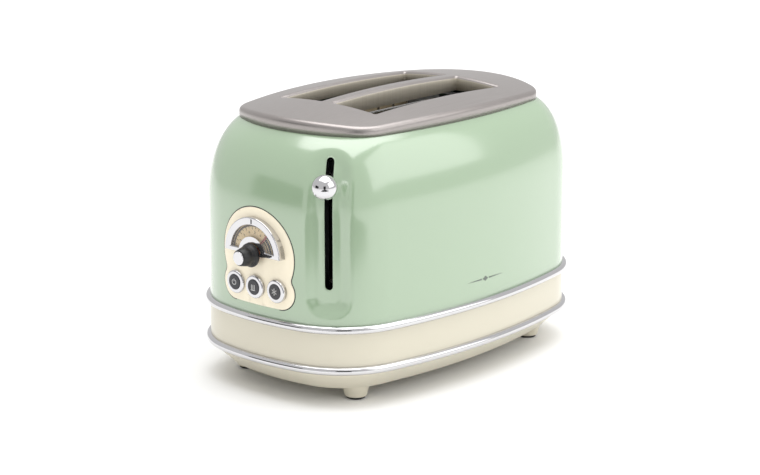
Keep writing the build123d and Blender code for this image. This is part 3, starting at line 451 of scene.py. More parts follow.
def planPoint(shape, turn, inset, level):
    acrossX, acrossY = math.cos(turn), math.sin(turn)
    folded = math.atan2(abs(acrossY), abs(acrossX))
    which = 0 if folded <= shape["endTurn"] else 1 if folded <= shape["sideTurn"] else 2
    centre, radius = shape["arcs"][which]
    x = math.copysign(1, acrossX) * centre.x + (radius - inset) * acrossX
    y = math.copysign(1, acrossY) * centre.y + (radius - inset) * acrossY
    return Vector((middleX + x, y, level))


def planTurns(shape, endSteps, cornerSteps, sideSteps):
    endTurn, sideTurn = shape["endTurn"], shape["sideTurn"]
    first = [endTurn * n / endSteps for n in range(endSteps)]
    first += [endTurn + (sideTurn - endTurn) * n / cornerSteps for n in range(cornerSteps)]
    first += [sideTurn + (math.pi / 2 - sideTurn) * n / sideSteps for n in range(sideSteps)]
    half = first + [math.pi / 2] + [math.pi - turn for turn in reversed(first[1:])]
    return half + [turn + math.pi for turn in half]


# painted shell: straight sides under a dome, with a soft recess round the lever slot
shell = {
    "halfLength": 0.1443, "halfWidth": 0.0943, "endRadius": 0.1943, "sideRadius": 0.4543,
    "cornerRadius": 0.0593, "domeLevel": 0.134, "domeHeight": 0.062, "endInset": 0.0429, "sideInset": 0.0314,
    "rimEndRadius": 0.107, "rimSideRadius": 0.429, "rimCornerRadius": 0.030,
    "rimAngle": 67, "topAngle": 77, "wall": 0.002, "recessReach": 0.03,
    "endSteps": 16, "cornerSteps": 46, "sideSteps": 20, "wallRows": 46, "domeRows": 34,
}
lever = {
    "angle": 32.5, "slotHalf": 0.003, "slotLow": 0.0860, "slotHigh": 0.1790,
    "recessHalf": 0.0175, "recessLow": 0.0665, "recessHigh": 0.1865, "recessCorner": 0.0135,
    "recessSlope": 0.0095, "recessDepth": 0.0040, "topDepth": 0.0020, "lip": 0.00045, "cut": (-0.025, 0.01),
}
leverTurn = math.radians(lever["angle"])
outward = Vector((-math.cos(leverTurn), -math.sin(leverTurn), 0))
sideways = Vector((math.sin(leverTurn), -math.cos(leverTurn), 0))
wallShape = planShape(shell["halfLength"], shell["halfWidth"], shell["endRadius"], shell["sideRadius"],
                      shell["cornerRadius"])
leverFoot = planPoint(wallShape, math.pi + leverTurn, 0, 0)


def domeShape(angle):
    drawn = 1 - math.cos(angle)
    share = drawn / (1 - math.cos(math.radians(shell["rimAngle"])))

    def blended(lower, upper):
        return lower + (upper - lower) * share

    return planShape(
        shell["halfLength"] - shell["endInset"] * drawn, shell["halfWidth"] - shell["sideInset"] * drawn,
        blended(shell["endRadius"], shell["rimEndRadius"]),
        blended(shell["sideRadius"], shell["rimSideRadius"]),
        blended(shell["cornerRadius"], shell["rimCornerRadius"]))


def shellLoop(shape, level):
    turns = planTurns(shape, shell["endSteps"], shell["cornerSteps"], shell["sideSteps"])
    return [planPoint(shape, turn, 0, level) for turn in turns]


def recessPush(point):      # how deep the recess is at a place on the shell
    across = abs((point - leverFoot).dot(sideways))
    low, high = lever["recessLow"], lever["recessHigh"]
    upper = point.z > (low + high) / 2
    corner = lever["recessHalf"] if upper else lever["recessCorner"]
    up = point.z - high if upper else low - point.z
    outX, outY = across - lever["recessHalf"] + corner, up + corner
    edge = math.hypot(max(outX, 0), max(outY, 0)) + min(max(outX, outY), 0) - corner
    share = min(max(-edge / lever["recessSlope"], 0), 1)
    rise = min(max((point.z - shell["domeLevel"]) / (high - shell["domeLevel"]), 0), 1)
    depth = lever["recessDepth"] + (lever["topDepth"] - lever["recessDepth"]) * rise
    return depth * share * share * (3 - 2 * share)


def leverOutline(half, low, high, steps):
    lower = arcPoints((0, low + half), half, 180, 360, steps)
    return lower + arcPoints((0, high - half), half, 0, 180, steps)


def panelOutline(p, grow):
    top, lobe = Vector((0, p["topHeight"])), Vector((p["lobeSpread"], p["lobeHeight"]))
    topRadius, lobeRadius, pinch = p["topRadius"] + grow, p["lobeRadius"] + grow, p["pinchRadius"] - grow
    toTop, toLobe = topRadius + pinch, lobeRadius + pinch
    between = lobe - top
    span = between.length
    along = (toTop ** 2 - toLobe ** 2 + span ** 2) / (2 * span)
    across = math.sqrt(toTop ** 2 - along ** 2)
    unit = between / span
    centre = top + unit * along + Vector((-unit.y, unit.x)) * across
    topTurn = math.degrees(math.atan2(centre.y - top.y, centre.x - top.x))
    lobeTurn = math.degrees(math.atan2(centre.y - lobe.y, centre.x - lobe.x))
    right = arcPoints(lobe, lobeRadius, -90, lobeTurn, 14)
    right += arcPoints(centre, pinch, lobeTurn + 180, topTurn + 180, 8)[1:]
    right += arcPoints(top, topRadius, topTurn, 90, 24)[1:]
    return right + [(-x, z) for x, z in reversed(right[:-1])]


panel = {
    "topRadius": 0.0343, "topHeight": 0.1053, "lobeRadius": 0.0122, "lobeSpread": 0.0223,
    "lobeHeight": 0.081, "pinchRadius": 0.006, "gap": 0.0009, "sealRadius": 0.000495, "sealSink": 0.000315,
    "cut": (0.12, 0.16),
}


def makeCutter(name, outline, place, low, high):
    bm = bmesh.new()
    slab(bm, outline, low, high)
    bm.transform(place)
    bmesh.ops.recalc_face_normals(bm, faces=bm.faces)
    mesh = bpy.data.meshes.new(name)
    bm.to_mesh(mesh)
    bm.free()
    cutter = bpy.data.objects.new(name, mesh)
    bpy.context.scene.collection.objects.link(cutter)
    return cutter


def cutAway(piece, cutters):
    for cutter in cutters:
        cut = piece.modifiers.new(cutter.name, "BOOLEAN")
        cut.operation = "DIFFERENCE"
        cut.solver = "EXACT"
        cut.object = cutter
    mesh = finishedMesh(piece)
    bpy.data.objects.remove(piece)
    for cutter in cutters:
        bpy.data.objects.remove(cutter)
    return mesh


leverFacing = Matrix(((sideways.x, 0, outward.x), (sideways.y, 0, outward.y), (0, 1, 0))).to_4x4()


def makeShell():
    bm = bmesh.new()
    bottom = shellLow.z
    loop = startLoop(bm, shellLoop(wallShape, bottom))
    for row in range(1, shell["wallRows"] + 1):
        level = bottom + (shell["domeLevel"] - bottom) * row / shell["wallRows"]
        loop = growLoop(bm, loop, shellLoop(wallShape, level))
    for row in range(1, shell["domeRows"] + 1):
        angle = math.radians(shell["topAngle"] * row / shell["domeRows"])
        level = shell["domeLevel"] + shell["domeHeight"] * math.sin(angle)
        loop = growLoop(bm, loop, shellLoop(domeShape(angle), level))
    bm.normal_update()
    someFace = bm.faces[:][0]
    if someFace.normal.dot(someFace.calc_center_median() - Vector((middleX, 0, bottom))) < 0:
        bmesh.ops.reverse_faces(bm, faces=bm.faces)
        bm.normal_update()
    for vert in bm.verts:
        depth = -(vert.co - leverFoot).dot(outward)
        if depth < shell["recessReach"] and vert.co.x < middleX and vert.co.y < 0:
            vert.co -= vert.normal * recessPush(vert.co)
    surface = BVHTree.FromBMesh(bm)
    mesh = bpy.data.meshes.new("shellBlank")
    bm.to_mesh(mesh)
    bm.free()
    blank = bpy.data.objects.new("shellBlank", mesh)
    bpy.context.scene.collection.objects.link(blank)
    wall = blank.modifiers.new("wall", "SOLIDIFY")
    wall.thickness = shell["wall"]
    wall.offset = -1.0
    slotOutline = leverOutline(lever["slotHalf"], lever["slotLow"], lever["slotHigh"], 10)
    slotCutter = makeCutter("slotCutter", slotOutline, Matrix.Translation(leverFoot) @ leverFacing,
                            *lever["cut"])
    panelCutter = makeCutter("panelCutter", panelOutline(panel, panel["gap"]), facingEnd(middleX, 0, 0),
                             *panel["cut"])
    painted = addMesh("shell", cutAway(blank, [slotCutter, panelCutter]), "housing", "mint_paint",
                      smoothAngle=40)
    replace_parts(painted, "body_shell")
    return surface


shellSurface = makeShell()
print("shell")


def makeRope(name, places, along, radius, sink, finishName):    # closed bead that follows the shell's surface
    curve = bpy.data.curves.new(name, "CURVE")
    curve.dimensions = "3D"
    curve.bevel_depth = radius
    curve.bevel_resolution = 2
    line = curve.splines.new("POLY")
    line.points.add(len(places) - 1)
    line.use_cyclic_u = True
    for knot, place in zip(line.points, places):
        hit = shellSurface.ray_cast(place, along)[0]
        knot.co = (*(hit + along * sink), 1)
    rope = bpy.data.objects.new(name, curve)
    bpy.context.scene.collection.objects.link(rope)
    mesh = finishedMesh(rope)
    bpy.data.objects.remove(rope)
    addMesh(name, mesh, "housing", "mint_paint", finishName, smoothAngle=80)


def makeSlotLip():      # rolled edge round the lever slot
    around, along = 8, 24       # steps round each end and along each side of the slot
    outline = leverOutline(lever["slotHalf"] + lever["lip"] / 2, lever["slotLow"] - lever["lip"] / 2,
                           lever["slotHigh"] + lever["lip"] / 2, around)
    lower, upper = outline[:around + 1], outline[around + 1:]
    (x, low), high = lower[-1], upper[0][1]
    straight = [(x, low + (high - low) * n / along) for n in range(1, along)]
    points = lower + straight + upper + [(-x, z) for x, z in reversed(straight)]
    places = [leverFoot + sideways * across + outward * 0.02 + Vector((0, 0, level))
              for across, level in points]
    makeRope("slotLip", places, -outward, lever["lip"], lever["lip"] / 2, "mint_paint")


makeSlotLip()


def makePanelSeal():        # dark bead in the gap round the control panel
    places = [Vector((shellLow.x - 0.02, -across, level))
              for across, level in panelOutline(panel, panel["gap"] / 2)]
    makeRope("panelSeal", places, Vector((1, 0, 0)), panel["sealRadius"], panel["sealSink"], "rubber_pad")


makePanelSeal()
print("slot lip and panel seal")


# cream base: a band between the rings, and a pan that slopes in under the lower ring
base = {
    "bandWall": 0.0024, "panWall": 0.0024, "bandRows": 6, "windowGap": 0.0004, "windowCut": (0.10, 0.17),
    "glandRadius": 0.00605, "glandCut": (0.07, 0.11),
    "underLevel": 0.0105, "slopeHeight": 0.0150, "panInset": 0.016, "slopeRows": 8,
    "underInsets": (0.026, 0.038, 0.050), "seam": 0.001, "slopeRound": 0.0004, "slopeLead": 0.35,
    "ventLength": 0.060, "ventWidth": 0.004, "ventPitch": 0.012, "ventCount": 6,
    "bossSpread": 0.070, "screwHead": 0.00325, "headDepth": 0.0024,
    "endSteps": 14, "cornerSteps": 24, "sideSteps": 18,
}


def baseLoop(inset, level):
    turns = planTurns(wallShape, base["endSteps"], base["cornerSteps"], base["sideSteps"])
    return [planPoint(wallShape, turn, inset, level) for turn in turns]


def wallPiece(bm, name, thickness, cutters, node):
    bmesh.ops.recalc_face_normals(bm, faces=bm.faces)
    side = max(bm.faces, key=lambda face: face.calc_center_median().y)
    if side.normal.y < 0:
        bmesh.ops.reverse_faces(bm, faces=bm.faces)
    mesh = bpy.data.meshes.new(name)
    bm.to_mesh(mesh)
    bm.free()
    blank = bpy.data.objects.new(name + "Blank", mesh)
    bpy.context.scene.collection.objects.link(blank)
    wall = blank.modifiers.new("wall", "SOLIDIFY")
    wall.thickness = thickness
    wall.offset = -1.0
    wall.use_even_offset = True
    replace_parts(addMesh(name, cutAway(blank, cutters), "housing", "cream_plastic", smoothAngle=30), node)


def makeBand():
    b = base
    low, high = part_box("base_band")
    bm = bmesh.new()
    loop = startLoop(bm, baseLoop(0, low.z))
    for row in range(1, b["bandRows"] + 1):
        loop = growLoop(bm, loop, baseLoop(0, low.z + (high.z - low.z) * row / b["bandRows"]))
    frontLow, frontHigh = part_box("tray_front")
    gap = b["windowGap"]
    wide, floorZ, topZ = frontHigh.y + gap, frontLow.z - gap, frontHigh.z + gap
    window = makeCutter("windowCutter", [(frontLow.y - gap, floorZ), (wide, floorZ), (wide, topZ),
                                         (frontLow.y - gap, topZ)],
                        Matrix(((0, 0, 1), (1, 0, 0), (0, 1, 0))).to_4x4(), *b["windowCut"])
    glandLow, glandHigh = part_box("cord_gland")
    middle = (glandLow + glandHigh) / 2
    glandHole = makeCutter("glandCutter", circlePoints((middle.x, middle.z), b["glandRadius"], 24),
                           Matrix(((1, 0, 0), (0, 0, 1), (0, 1, 0))).to_4x4(), *b["glandCut"])
    wallPiece(bm, "baseBand", b["bandWall"], [window, glandHole], "base_band")


def makePan():
    b = base
    low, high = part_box("lower_trim_ring")
    top = (low.z + high.z) / 2 - b["seam"]
    slopeTop = b["underLevel"] + b["slopeHeight"]
    bm = bmesh.new()
    loop = startLoop(bm, baseLoop(0, top))
    loop = growLoop(bm, loop, baseLoop(0, slopeTop + b["slopeRound"]))
    for row in range(b["slopeRows"]):
        share = (row + b["slopeLead"]) / b["slopeRows"]
        loop = growLoop(bm, loop, baseLoop(b["panInset"] * share, slopeTop - b["slopeHeight"] * share))
    loop = growLoop(bm, loop, baseLoop(b["panInset"], b["underLevel"]))
    for inset in b["underInsets"]:
        loop = growLoop(bm, loop, baseLoop(inset, b["underLevel"]))
    bm.faces.new(loop)
    cutters = []
    for n in range(b["ventCount"]):
        y = (n - (b["ventCount"] - 1) / 2) * b["ventPitch"]
        half, reach = b["ventWidth"] / 2, b["ventLength"] / 2 - b["ventWidth"] / 2
        outline = arcPoints((middleX + reach, y), half, -90, 90, 8)
        outline += arcPoints((middleX - reach, y), half, 90, 270, 8)
        cutters.append(makeCutter("vent%d" % n, outline, Matrix.Identity(4), b["underLevel"] - 0.002,
                                  b["underLevel"] + b["panWall"] + 0.002))
    for x in (-b["bossSpread"], b["bossSpread"]):
        for y in (-b["bossSpread"], b["bossSpread"]):
            outline = circlePoints((middleX + x, y), b["screwHead"], 24)
            cutters.append(makeCutter("head", outline, Matrix.Identity(4), b["underLevel"] - 0.001,
                                      b["underLevel"] + b["headDepth"]))
    wallPiece(bm, "basePan", b["panWall"], cutters, "base_pan")


makeBand()
makePan()
print("base band and pan")


# trim rings: half-round chrome beads
ring = {"proud": 0.00364, "height": 0.006, "steps": 18, "back": 0.0004,
        "endSteps": 14, "cornerSteps": 22, "sideSteps": 22}


def makeRing(name, node):
    low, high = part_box(node)
    level = (low.z + high.z) / 2
    half = ring["height"] / 2
    bm = bmesh.new()
    turns = planTurns(wallShape, ring["endSteps"], ring["cornerSteps"], ring["sideSteps"])
    loops = []
    for n in range(ring["steps"] + 1):
        lean = math.pi * n / ring["steps"] - math.pi / 2
        stand = ring["proud"] - half + half * math.cos(lean)
        points = [planPoint(wallShape, turn, -stand, level + half * math.sin(lean)) for turn in turns]
        loops.append(growLoop(bm, loops[-1], points) if loops else startLoop(bm, points))
    for side in (1, -1):
        points = [planPoint(wallShape, turn, ring["back"], level + side * half) for turn in turns]
        loops.append(growLoop(bm, loops[-1], points))
    closeBand(bm, loops[0], loops[-1])
    bmesh.ops.recalc_face_normals(bm, faces=bm.faces)
    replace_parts(addPiece(name, bm, "housing", "chrome_trim", smoothAngle=50), node)


makeRing("upperRing", "upper_trim_ring")
makeRing("lowerRing", "lower_trim_ring")
print("trim rings")


# brushed top plate: a crowned sheet with a rolled rim and two collared slots
plate = {
    "rise": 0.0156, "crownX": 1.100, "crownY": 0.400, "proud": 0.0007, "edge": 0.0035,
    "slotHalf": 0.0688, "slotInner": 0.0059, "slotOuter": 0.0460,
    "slotCorner": 0.0040, "lip": 0.0024, "collar": 0.013, "sheet": 0.0009,
    "endCells": 9, "slotCellsX": 26, "sideCells": 7, "slotCellsY": 6, "barCells": 2,
    "edgeSteps": 6, "lipSteps": 4, "cornerShare": 0.62,
}
rimLevel = shell["domeLevel"] + shell["domeHeight"] * math.sin(math.radians(shell["rimAngle"]))
rimDrawn = 1 - math.cos(math.radians(shell["rimAngle"]))
plateShape = planShape(
    shell["halfLength"] - shell["endInset"] * rimDrawn + plate["proud"],
    shell["halfWidth"] - shell["sideInset"] * rimDrawn + plate["proud"],
    shell["rimEndRadius"], shell["rimSideRadius"], shell["rimCornerRadius"])

slotEnd = plate["slotHalf"] + plate["lip"]          # where the slot's lip starts to roll over
slotNear = plate["slotInner"] - plate["lip"]
slotFar = plate["slotOuter"] + plate["lip"]
lipCorner = plate["slotCorner"] + plate["lip"]


def crownLevel(x, y):
    dropX = plate["crownX"] - math.sqrt(plate["crownX"] ** 2 - (x - middleX) ** 2)
    dropY = plate["crownY"] - math.sqrt(plate["crownY"] ** 2 - y ** 2)
    return rimLevel + plate["rise"] - dropX - dropY


def turnWhere(axis, value):     # direction, in the first quadrant, where the plate's top edge reaches a place
    low, high = 0.0, math.pi / 2
    for _ in range(40):
        middle = (low + high) / 2
        point = planPoint(plateShape, middle, plate["edge"], 0)
        found = point.y < value if axis == "y" else point.x - middleX > value
        low, high = (middle, high) if found else (low, middle)
    return (low + high) / 2


def gridStops(cells, stops):
    places = [stops[0]]
    for count, low, high in zip(cells, stops, stops[1:]):
        places += [low + (high - low) * n / count for n in range(1, count + 1)]
    return places


def plateBlend(x, y, edgeX, edgeY):     # moves a grid place in the outer zones out to the plate's edge
    cornerX, cornerY = slotEnd, slotFar
    u = max(abs(x) - cornerX, 0) / (edgeX - cornerX)
    v = max(abs(y) - cornerY, 0) / (edgeY - cornerY)
    signX, signY = math.copysign(1, x), math.copysign(1, y)
    if u == 0 and v == 0:
        return x, y
    if v == 0:
        edge = planPoint(plateShape, turnWhere("y", abs(y)), plate["edge"], 0)
        return signX * (cornerX + u * (edge.x - middleX - cornerX)), y
    if u == 0:
        edge = planPoint(plateShape, turnWhere("x", abs(x)), plate["edge"], 0)
        return x, signY * (cornerY + v * (edge.y - cornerY))
    endTurn, sideTurn = turnWhere("y", cornerY), turnWhere("x", cornerX)
    midTurn = (endTurn + sideTurn) / 2

    def edgeAt(turn):
        point = planPoint(plateShape, turn, plate["edge"], 0)
        return Vector((point.x - middleX, point.y))

    inner, far = Vector((cornerX, cornerY)), edgeAt(midTurn)
    endPoint, sidePoint = edgeAt(endTurn), edgeAt(sideTurn)
    right = edgeAt(endTurn + v * (midTurn - endTurn))
    top = edgeAt(sideTurn + u * (midTurn - sideTurn))
    bottom, left = inner.lerp(endPoint, u), inner.lerp(sidePoint, v)
    mixed = bottom * (1 - v) + top * v + left * (1 - u) + right * u
    mixed -= inner * (1 - u) * (1 - v) + endPoint * u * (1 - v) + sidePoint * (1 - u) * v + far * u * v
    return signX * mixed.x, signY * mixed.y


def makePlate():     # the slot collars take a duller steel, as their second material
    p = plate
    edgeX = planPoint(plateShape, 0, p["edge"], 0).x - middleX
    edgeY = planPoint(plateShape, math.pi / 2, p["edge"], 0).y
    stopsX = gridStops((p["endCells"], p["slotCellsX"], p["endCells"]), (-edgeX, -slotEnd, slotEnd, edgeX))
    stopsY = gridStops(
        (p["sideCells"], p["slotCellsY"], p["barCells"], p["slotCellsY"], p["sideCells"]),
        (-edgeY, -slotFar, -slotNear, slotNear, slotFar, edgeY))
    bm = bmesh.new()
    bmesh.ops.create_grid(bm, x_segments=len(stopsX) - 1, y_segments=len(stopsY) - 1, size=1.0)
    doomed = []
    for face in bm.faces:
        centre = face.calc_center_median()
        column = int((centre.x + 1) / 2 * (len(stopsX) - 1))
        row = int((centre.y + 1) / 2 * (len(stopsY) - 1))
        x, y = (stopsX[column] + stopsX[column + 1]) / 2, (stopsY[row] + stopsY[row + 1]) / 2
        if abs(x) < slotEnd and slotNear < abs(y) < slotFar:
            doomed.append(face)
    for vert in bm.verts:
        column = round((vert.co.x + 1) / 2 * (len(stopsX) - 1))
        row = round((vert.co.y + 1) / 2 * (len(stopsY) - 1))
        x, y = plateBlend(stopsX[column], stopsY[row], edgeX, edgeY)
        vert.co = (middleX + x, y, 0)
    bmesh.ops.delete(bm, geom=doomed, context="FACES")
    corners = [v for v in bm.verts if abs(abs(v.co.x - middleX) - slotEnd) < 1e-6
               and min(abs(abs(v.co.y) - slotNear), abs(abs(v.co.y) - slotFar)) < 1e-6]
    bmesh.ops.bevel(bm, geom=corners, offset=lipCorner * p["cornerShare"], offset_type="OFFSET",
                    affect="VERTICES", segments=6, profile=0.5, material=-1, clamp_overlap=True)
    for vert in bm.verts:
        vert.co.z = crownLevel(vert.co.x, vert.co.y)
    bm.normal_update()
    rolled = {"rim": [], "slots": []}
    for edge in [edge for edge in bm.edges if edge.is_boundary]:
        x, y = (edge.verts[0].co + edge.verts[1].co).xy / 2
        inside = abs(x - middleX) < slotEnd + 0.002 and abs(y) < slotFar + 0.002
        rolled["slots" if inside else "rim"].append(edge)
    rollEdges(bm, rolled["rim"], rimOut, p["edge"], p["edgeSteps"], rimLevel)
    rollEdges(bm, rolled["slots"], slotIn, p["lip"], p["lipSteps"], rimLevel + p["rise"] - p["collar"])
    bmesh.ops.recalc_face_normals(bm, faces=bm.faces)
    top = max(bm.faces, key=lambda face: face.calc_center_median().z)
    if top.normal.z < 0:
        bmesh.ops.reverse_faces(bm, faces=bm.faces)
    steel = addPiece("topPlate", bm, "housing", "brushed_plate", smoothAngle=50)
    steel.data.materials.append(finishes["slot_steel"])
    for face in steel.data.polygons:
        middle = face.center
        if abs(middle.x - middleX) < slotEnd and slotNear < abs(middle.y) < slotFar:
            if middle.z < crownLevel(middle.x, middle.y) - p["lip"] * 0.7:
                face.material_index = 1
    wall = steel.modifiers.new("sheet", "SOLIDIFY")
    wall.thickness = p["sheet"]
    wall.offset = -1.0
    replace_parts(steel, "top_plate")


def rimOut(point):          # direction out of the plate at its edge
    x, y = abs(point.x - middleX), abs(point.y)
    turn = turnWhere("y", y) if y < slotFar else turnWhere("x", x)
    return Vector((math.copysign(math.cos(turn), point.x - middleX),
                   math.copysign(math.sin(turn), point.y), 0))


def slotIn(point):          # direction into the slot at its edge
    middleY = math.copysign((plate["slotInner"] + plate["slotOuter"]) / 2, point.y)
    halfY = (plate["slotOuter"] - plate["slotInner"]) / 2
    fromX, fromY = point.x - middleX, point.y - middleY
    coreX, coreY = slotEnd - lipCorner, halfY + plate["lip"] - lipCorner
    away = Vector((fromX - min(max(fromX, -coreX), coreX), fromY - min(max(fromY, -coreY), coreY), 0))
    return -away.normalized()


def rollEdges(bm, edges, direction, radius, steps, bottom):
    starts = {vert: vert.co.copy() for edge in edges for vert in edge.verts}
    facing = {vert: direction(place) for vert, place in starts.items()}
    origin = {vert: vert for vert in starts}
    for step in range(1, steps + 2):
        made = bmesh.ops.extrude_edge_only(bm, edges=edges)["geom"]
        fresh = {part for part in made if isinstance(part, bmesh.types.BMVert)}
        edges = [part for part in made if isinstance(part, bmesh.types.BMEdge)
                 and part.verts[0] in fresh and part.verts[1] in fresh]
        following = {}
        for vert in fresh:
            before = next(e.other_vert(vert) for e in vert.link_edges if e.other_vert(vert) in origin)
            root = origin[before]
            if step <= steps:
                lean = math.pi / 2 * step / steps
                vert.co = starts[root] + facing[root] * radius * math.sin(lean)
                vert.co.z -= radius * (1 - math.cos(lean))
            else:
                vert.co.z = bottom
            following[vert] = root
        origin = following


makePlate()
print("top plate")


# copies of the smaller fitted pieces, merged so that their curves shade smoothly
def bodyOf(node):
    return next(body for body, members in frame["record"]["behaviour"]["bodies"].items() if node in members)


slotOf = {part["node"]: part["material_slot"] for part in frame["record"]["subparts"]}
smoothed = [
    "feet", "foot_pads", "tray_front", "cord_gland", "control_panel", "dial_frame",
    "knob_cap", "cancel_button", "reheat_button", "defrost_button", "button_bezels", "dial_needle",
    "bread_guide_near_outer", "bread_guide_near_inner", "bread_guide_far_inner", "bread_guide_far_outer",
    "guide_rod", "lever_stem", "near_bread_rack", "far_bread_rack", "base_screws", "board_screws",
]
for node in smoothed:
    smoothCopy(node, bodyOf(node), slotOf[node])
for node, nodeObject in nodes.items():
    nodeObject.data.materials.clear()
    nodeObject.data.materials.append(finishes[slotOf[node]])
print("fitted pieces")


# lever ball
ball = {"radius": 0.009, "neck": 0.0037, "neckBore": 0.0026, "neckLength": 0.0012, "reach": 0.009, "rows": 40}


def makeBall():
    low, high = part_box("lever_ball")
    radius, neckEnd = ball["radius"], -ball["radius"] - ball["neckLength"]
    profile = [(ball["neckBore"], neckEnd), (ball["neck"], neckEnd)]
    startLean = -math.acos(ball["neck"] / radius)
    for n in range(ball["rows"] + 1):
        lean = startLean + (math.pi / 2 - startLean) * n / ball["rows"]
        profile.append((max(radius * math.cos(lean), 0), radius * math.sin(lean)))
    bm = turned(profile, 72)
    centre = leverFoot + outward * ball["reach"] + Vector((0, 0, (low.z + high.z) / 2))
    bm.transform(Matrix.Translation(centre) @ leverFacing)
    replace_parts(addPiece("leverBall", bm, "carriage", "chrome_trim", smoothAngle=40), "lever_ball")


makeBall()


# browning knob: tapered grip with a skirt, and fine grip lines near its root
knob = {
    "skirt": 0.0087, "skirtLength": 0.0022, "rootRadius": 0.0079, "frontRadius": 0.00565,
    "length": 0.0124, "round": 0.0005, "lineCount": 3, "lineDepth": 0.00012, "linePitch": 0.0009,
    "pointerReach": 0.019, "pointerRoot": 0.0026, "pointerTip": 0.0009, "pointerThick": 0.0008,
    "pointerAngle": 85,
}


def makeKnob():     # with the flat pointer at its root
    k = knob
    profile = [(0, 0), (k["skirt"] - k["round"], 0), (k["skirt"], k["round"]),
               (k["skirt"], k["skirtLength"] - k["round"]), (k["skirt"] - k["round"], k["skirtLength"]),
               (k["rootRadius"], k["skirtLength"] + k["round"] / 2)]
    slope = (k["frontRadius"] - k["rootRadius"]) / (k["length"] - k["skirtLength"])
    for n in range(k["lineCount"]):
        height = k["skirtLength"] + k["round"] + (n + 1) * k["linePitch"]
        for offset, sink in ((-0.25, 0), (0, k["lineDepth"]), (0.25, 0)):
            place = height + offset * k["linePitch"]
            profile.append((k["rootRadius"] + slope * (place - k["skirtLength"]) - sink, place))
    profile += [(k["frontRadius"] + k["round"] * 0.2, k["length"] - k["round"]),
                (k["frontRadius"] - k["round"] * 0.3, k["length"] - k["round"] * 0.3),
                (k["frontRadius"] - k["round"], k["length"]), (0, k["length"])]
    bm = turned(profile, 72)
    lean = math.radians(90 - k["pointerAngle"])
    along = Vector((math.cos(lean), math.sin(lean)))
    across = Vector((-math.sin(lean), math.cos(lean)))
    root, tip = across * k["pointerRoot"] / 2, across * k["pointerTip"] / 2
    reach = along * k["pointerReach"]
    slab(bm, [-root, reach - tip, reach + tip, root], 0, k["pointerThick"])
    bm.transform(facingEnd(knobLow.x + k["length"], 0, knobHeight))
    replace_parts(addPiece("browningKnob", bm, "knob", "black_plastic", smoothAngle=40), "browning_knob")


makeKnob()
print("lever ball and knob")


# dial: ticks and numbers under a dark brown arc of painted shadow from the frame, a dark sector with two pale
# stripes, and the frame's notch
dial = {
    "hubRadius": 0.0132, "windowRadius": 0.0212, "ink": 0.00010,
    "tickCount": 13, "tickStart": 176, "tickPitch": 10, "tickWidth": 0.00040,
    "tickOuter": 0.0198, "tickInner": 0.0184, "longInner": 0.0176,
    "numberCount": 6, "numberStart": 172, "numberPitch": 21, "numberHeight": 0.0030, "numberRadius": 0.0157,
    "frameShadowStart": 56, "frameShadowEnd": 178, "darkStart": 6, "darkEnd": 52,
    "stripeCount": 2, "stripeStart": 0.0014, "stripePitch": 0.0030, "stripeWidth": 0.0005, "stripeInset": 4,
    "notchWidth": 0.0012, "notchInner": 0.0224, "notchOuter": 0.0258,
    "notchDepth": 0.0004, "notchProud": 0.00005,
}


def addSector(bm, inner, outer, start, end, low, high, steps):
    outline = arcPoints((0, 0), outer, start, end, steps) + arcPoints((0, 0), inner, end, start, steps)
    slab(bm, outline, low, high)


def addBar(bm, length, width, turn, centre, low, high):
    direction = Vector((math.cos(turn), math.sin(turn)))
    side = Vector((-direction.y, direction.x)) * width / 2
    middle = Vector(centre)
    ends = [middle - direction * length / 2, middle + direction * length / 2]
    slab(bm, [ends[0] - side, ends[1] - side, ends[1] + side, ends[0] + side], low, high)


def finishPrint(bm, place):
    bm.transform(place)
    bmesh.ops.recalc_face_normals(bm, faces=bm.faces)
    return bm


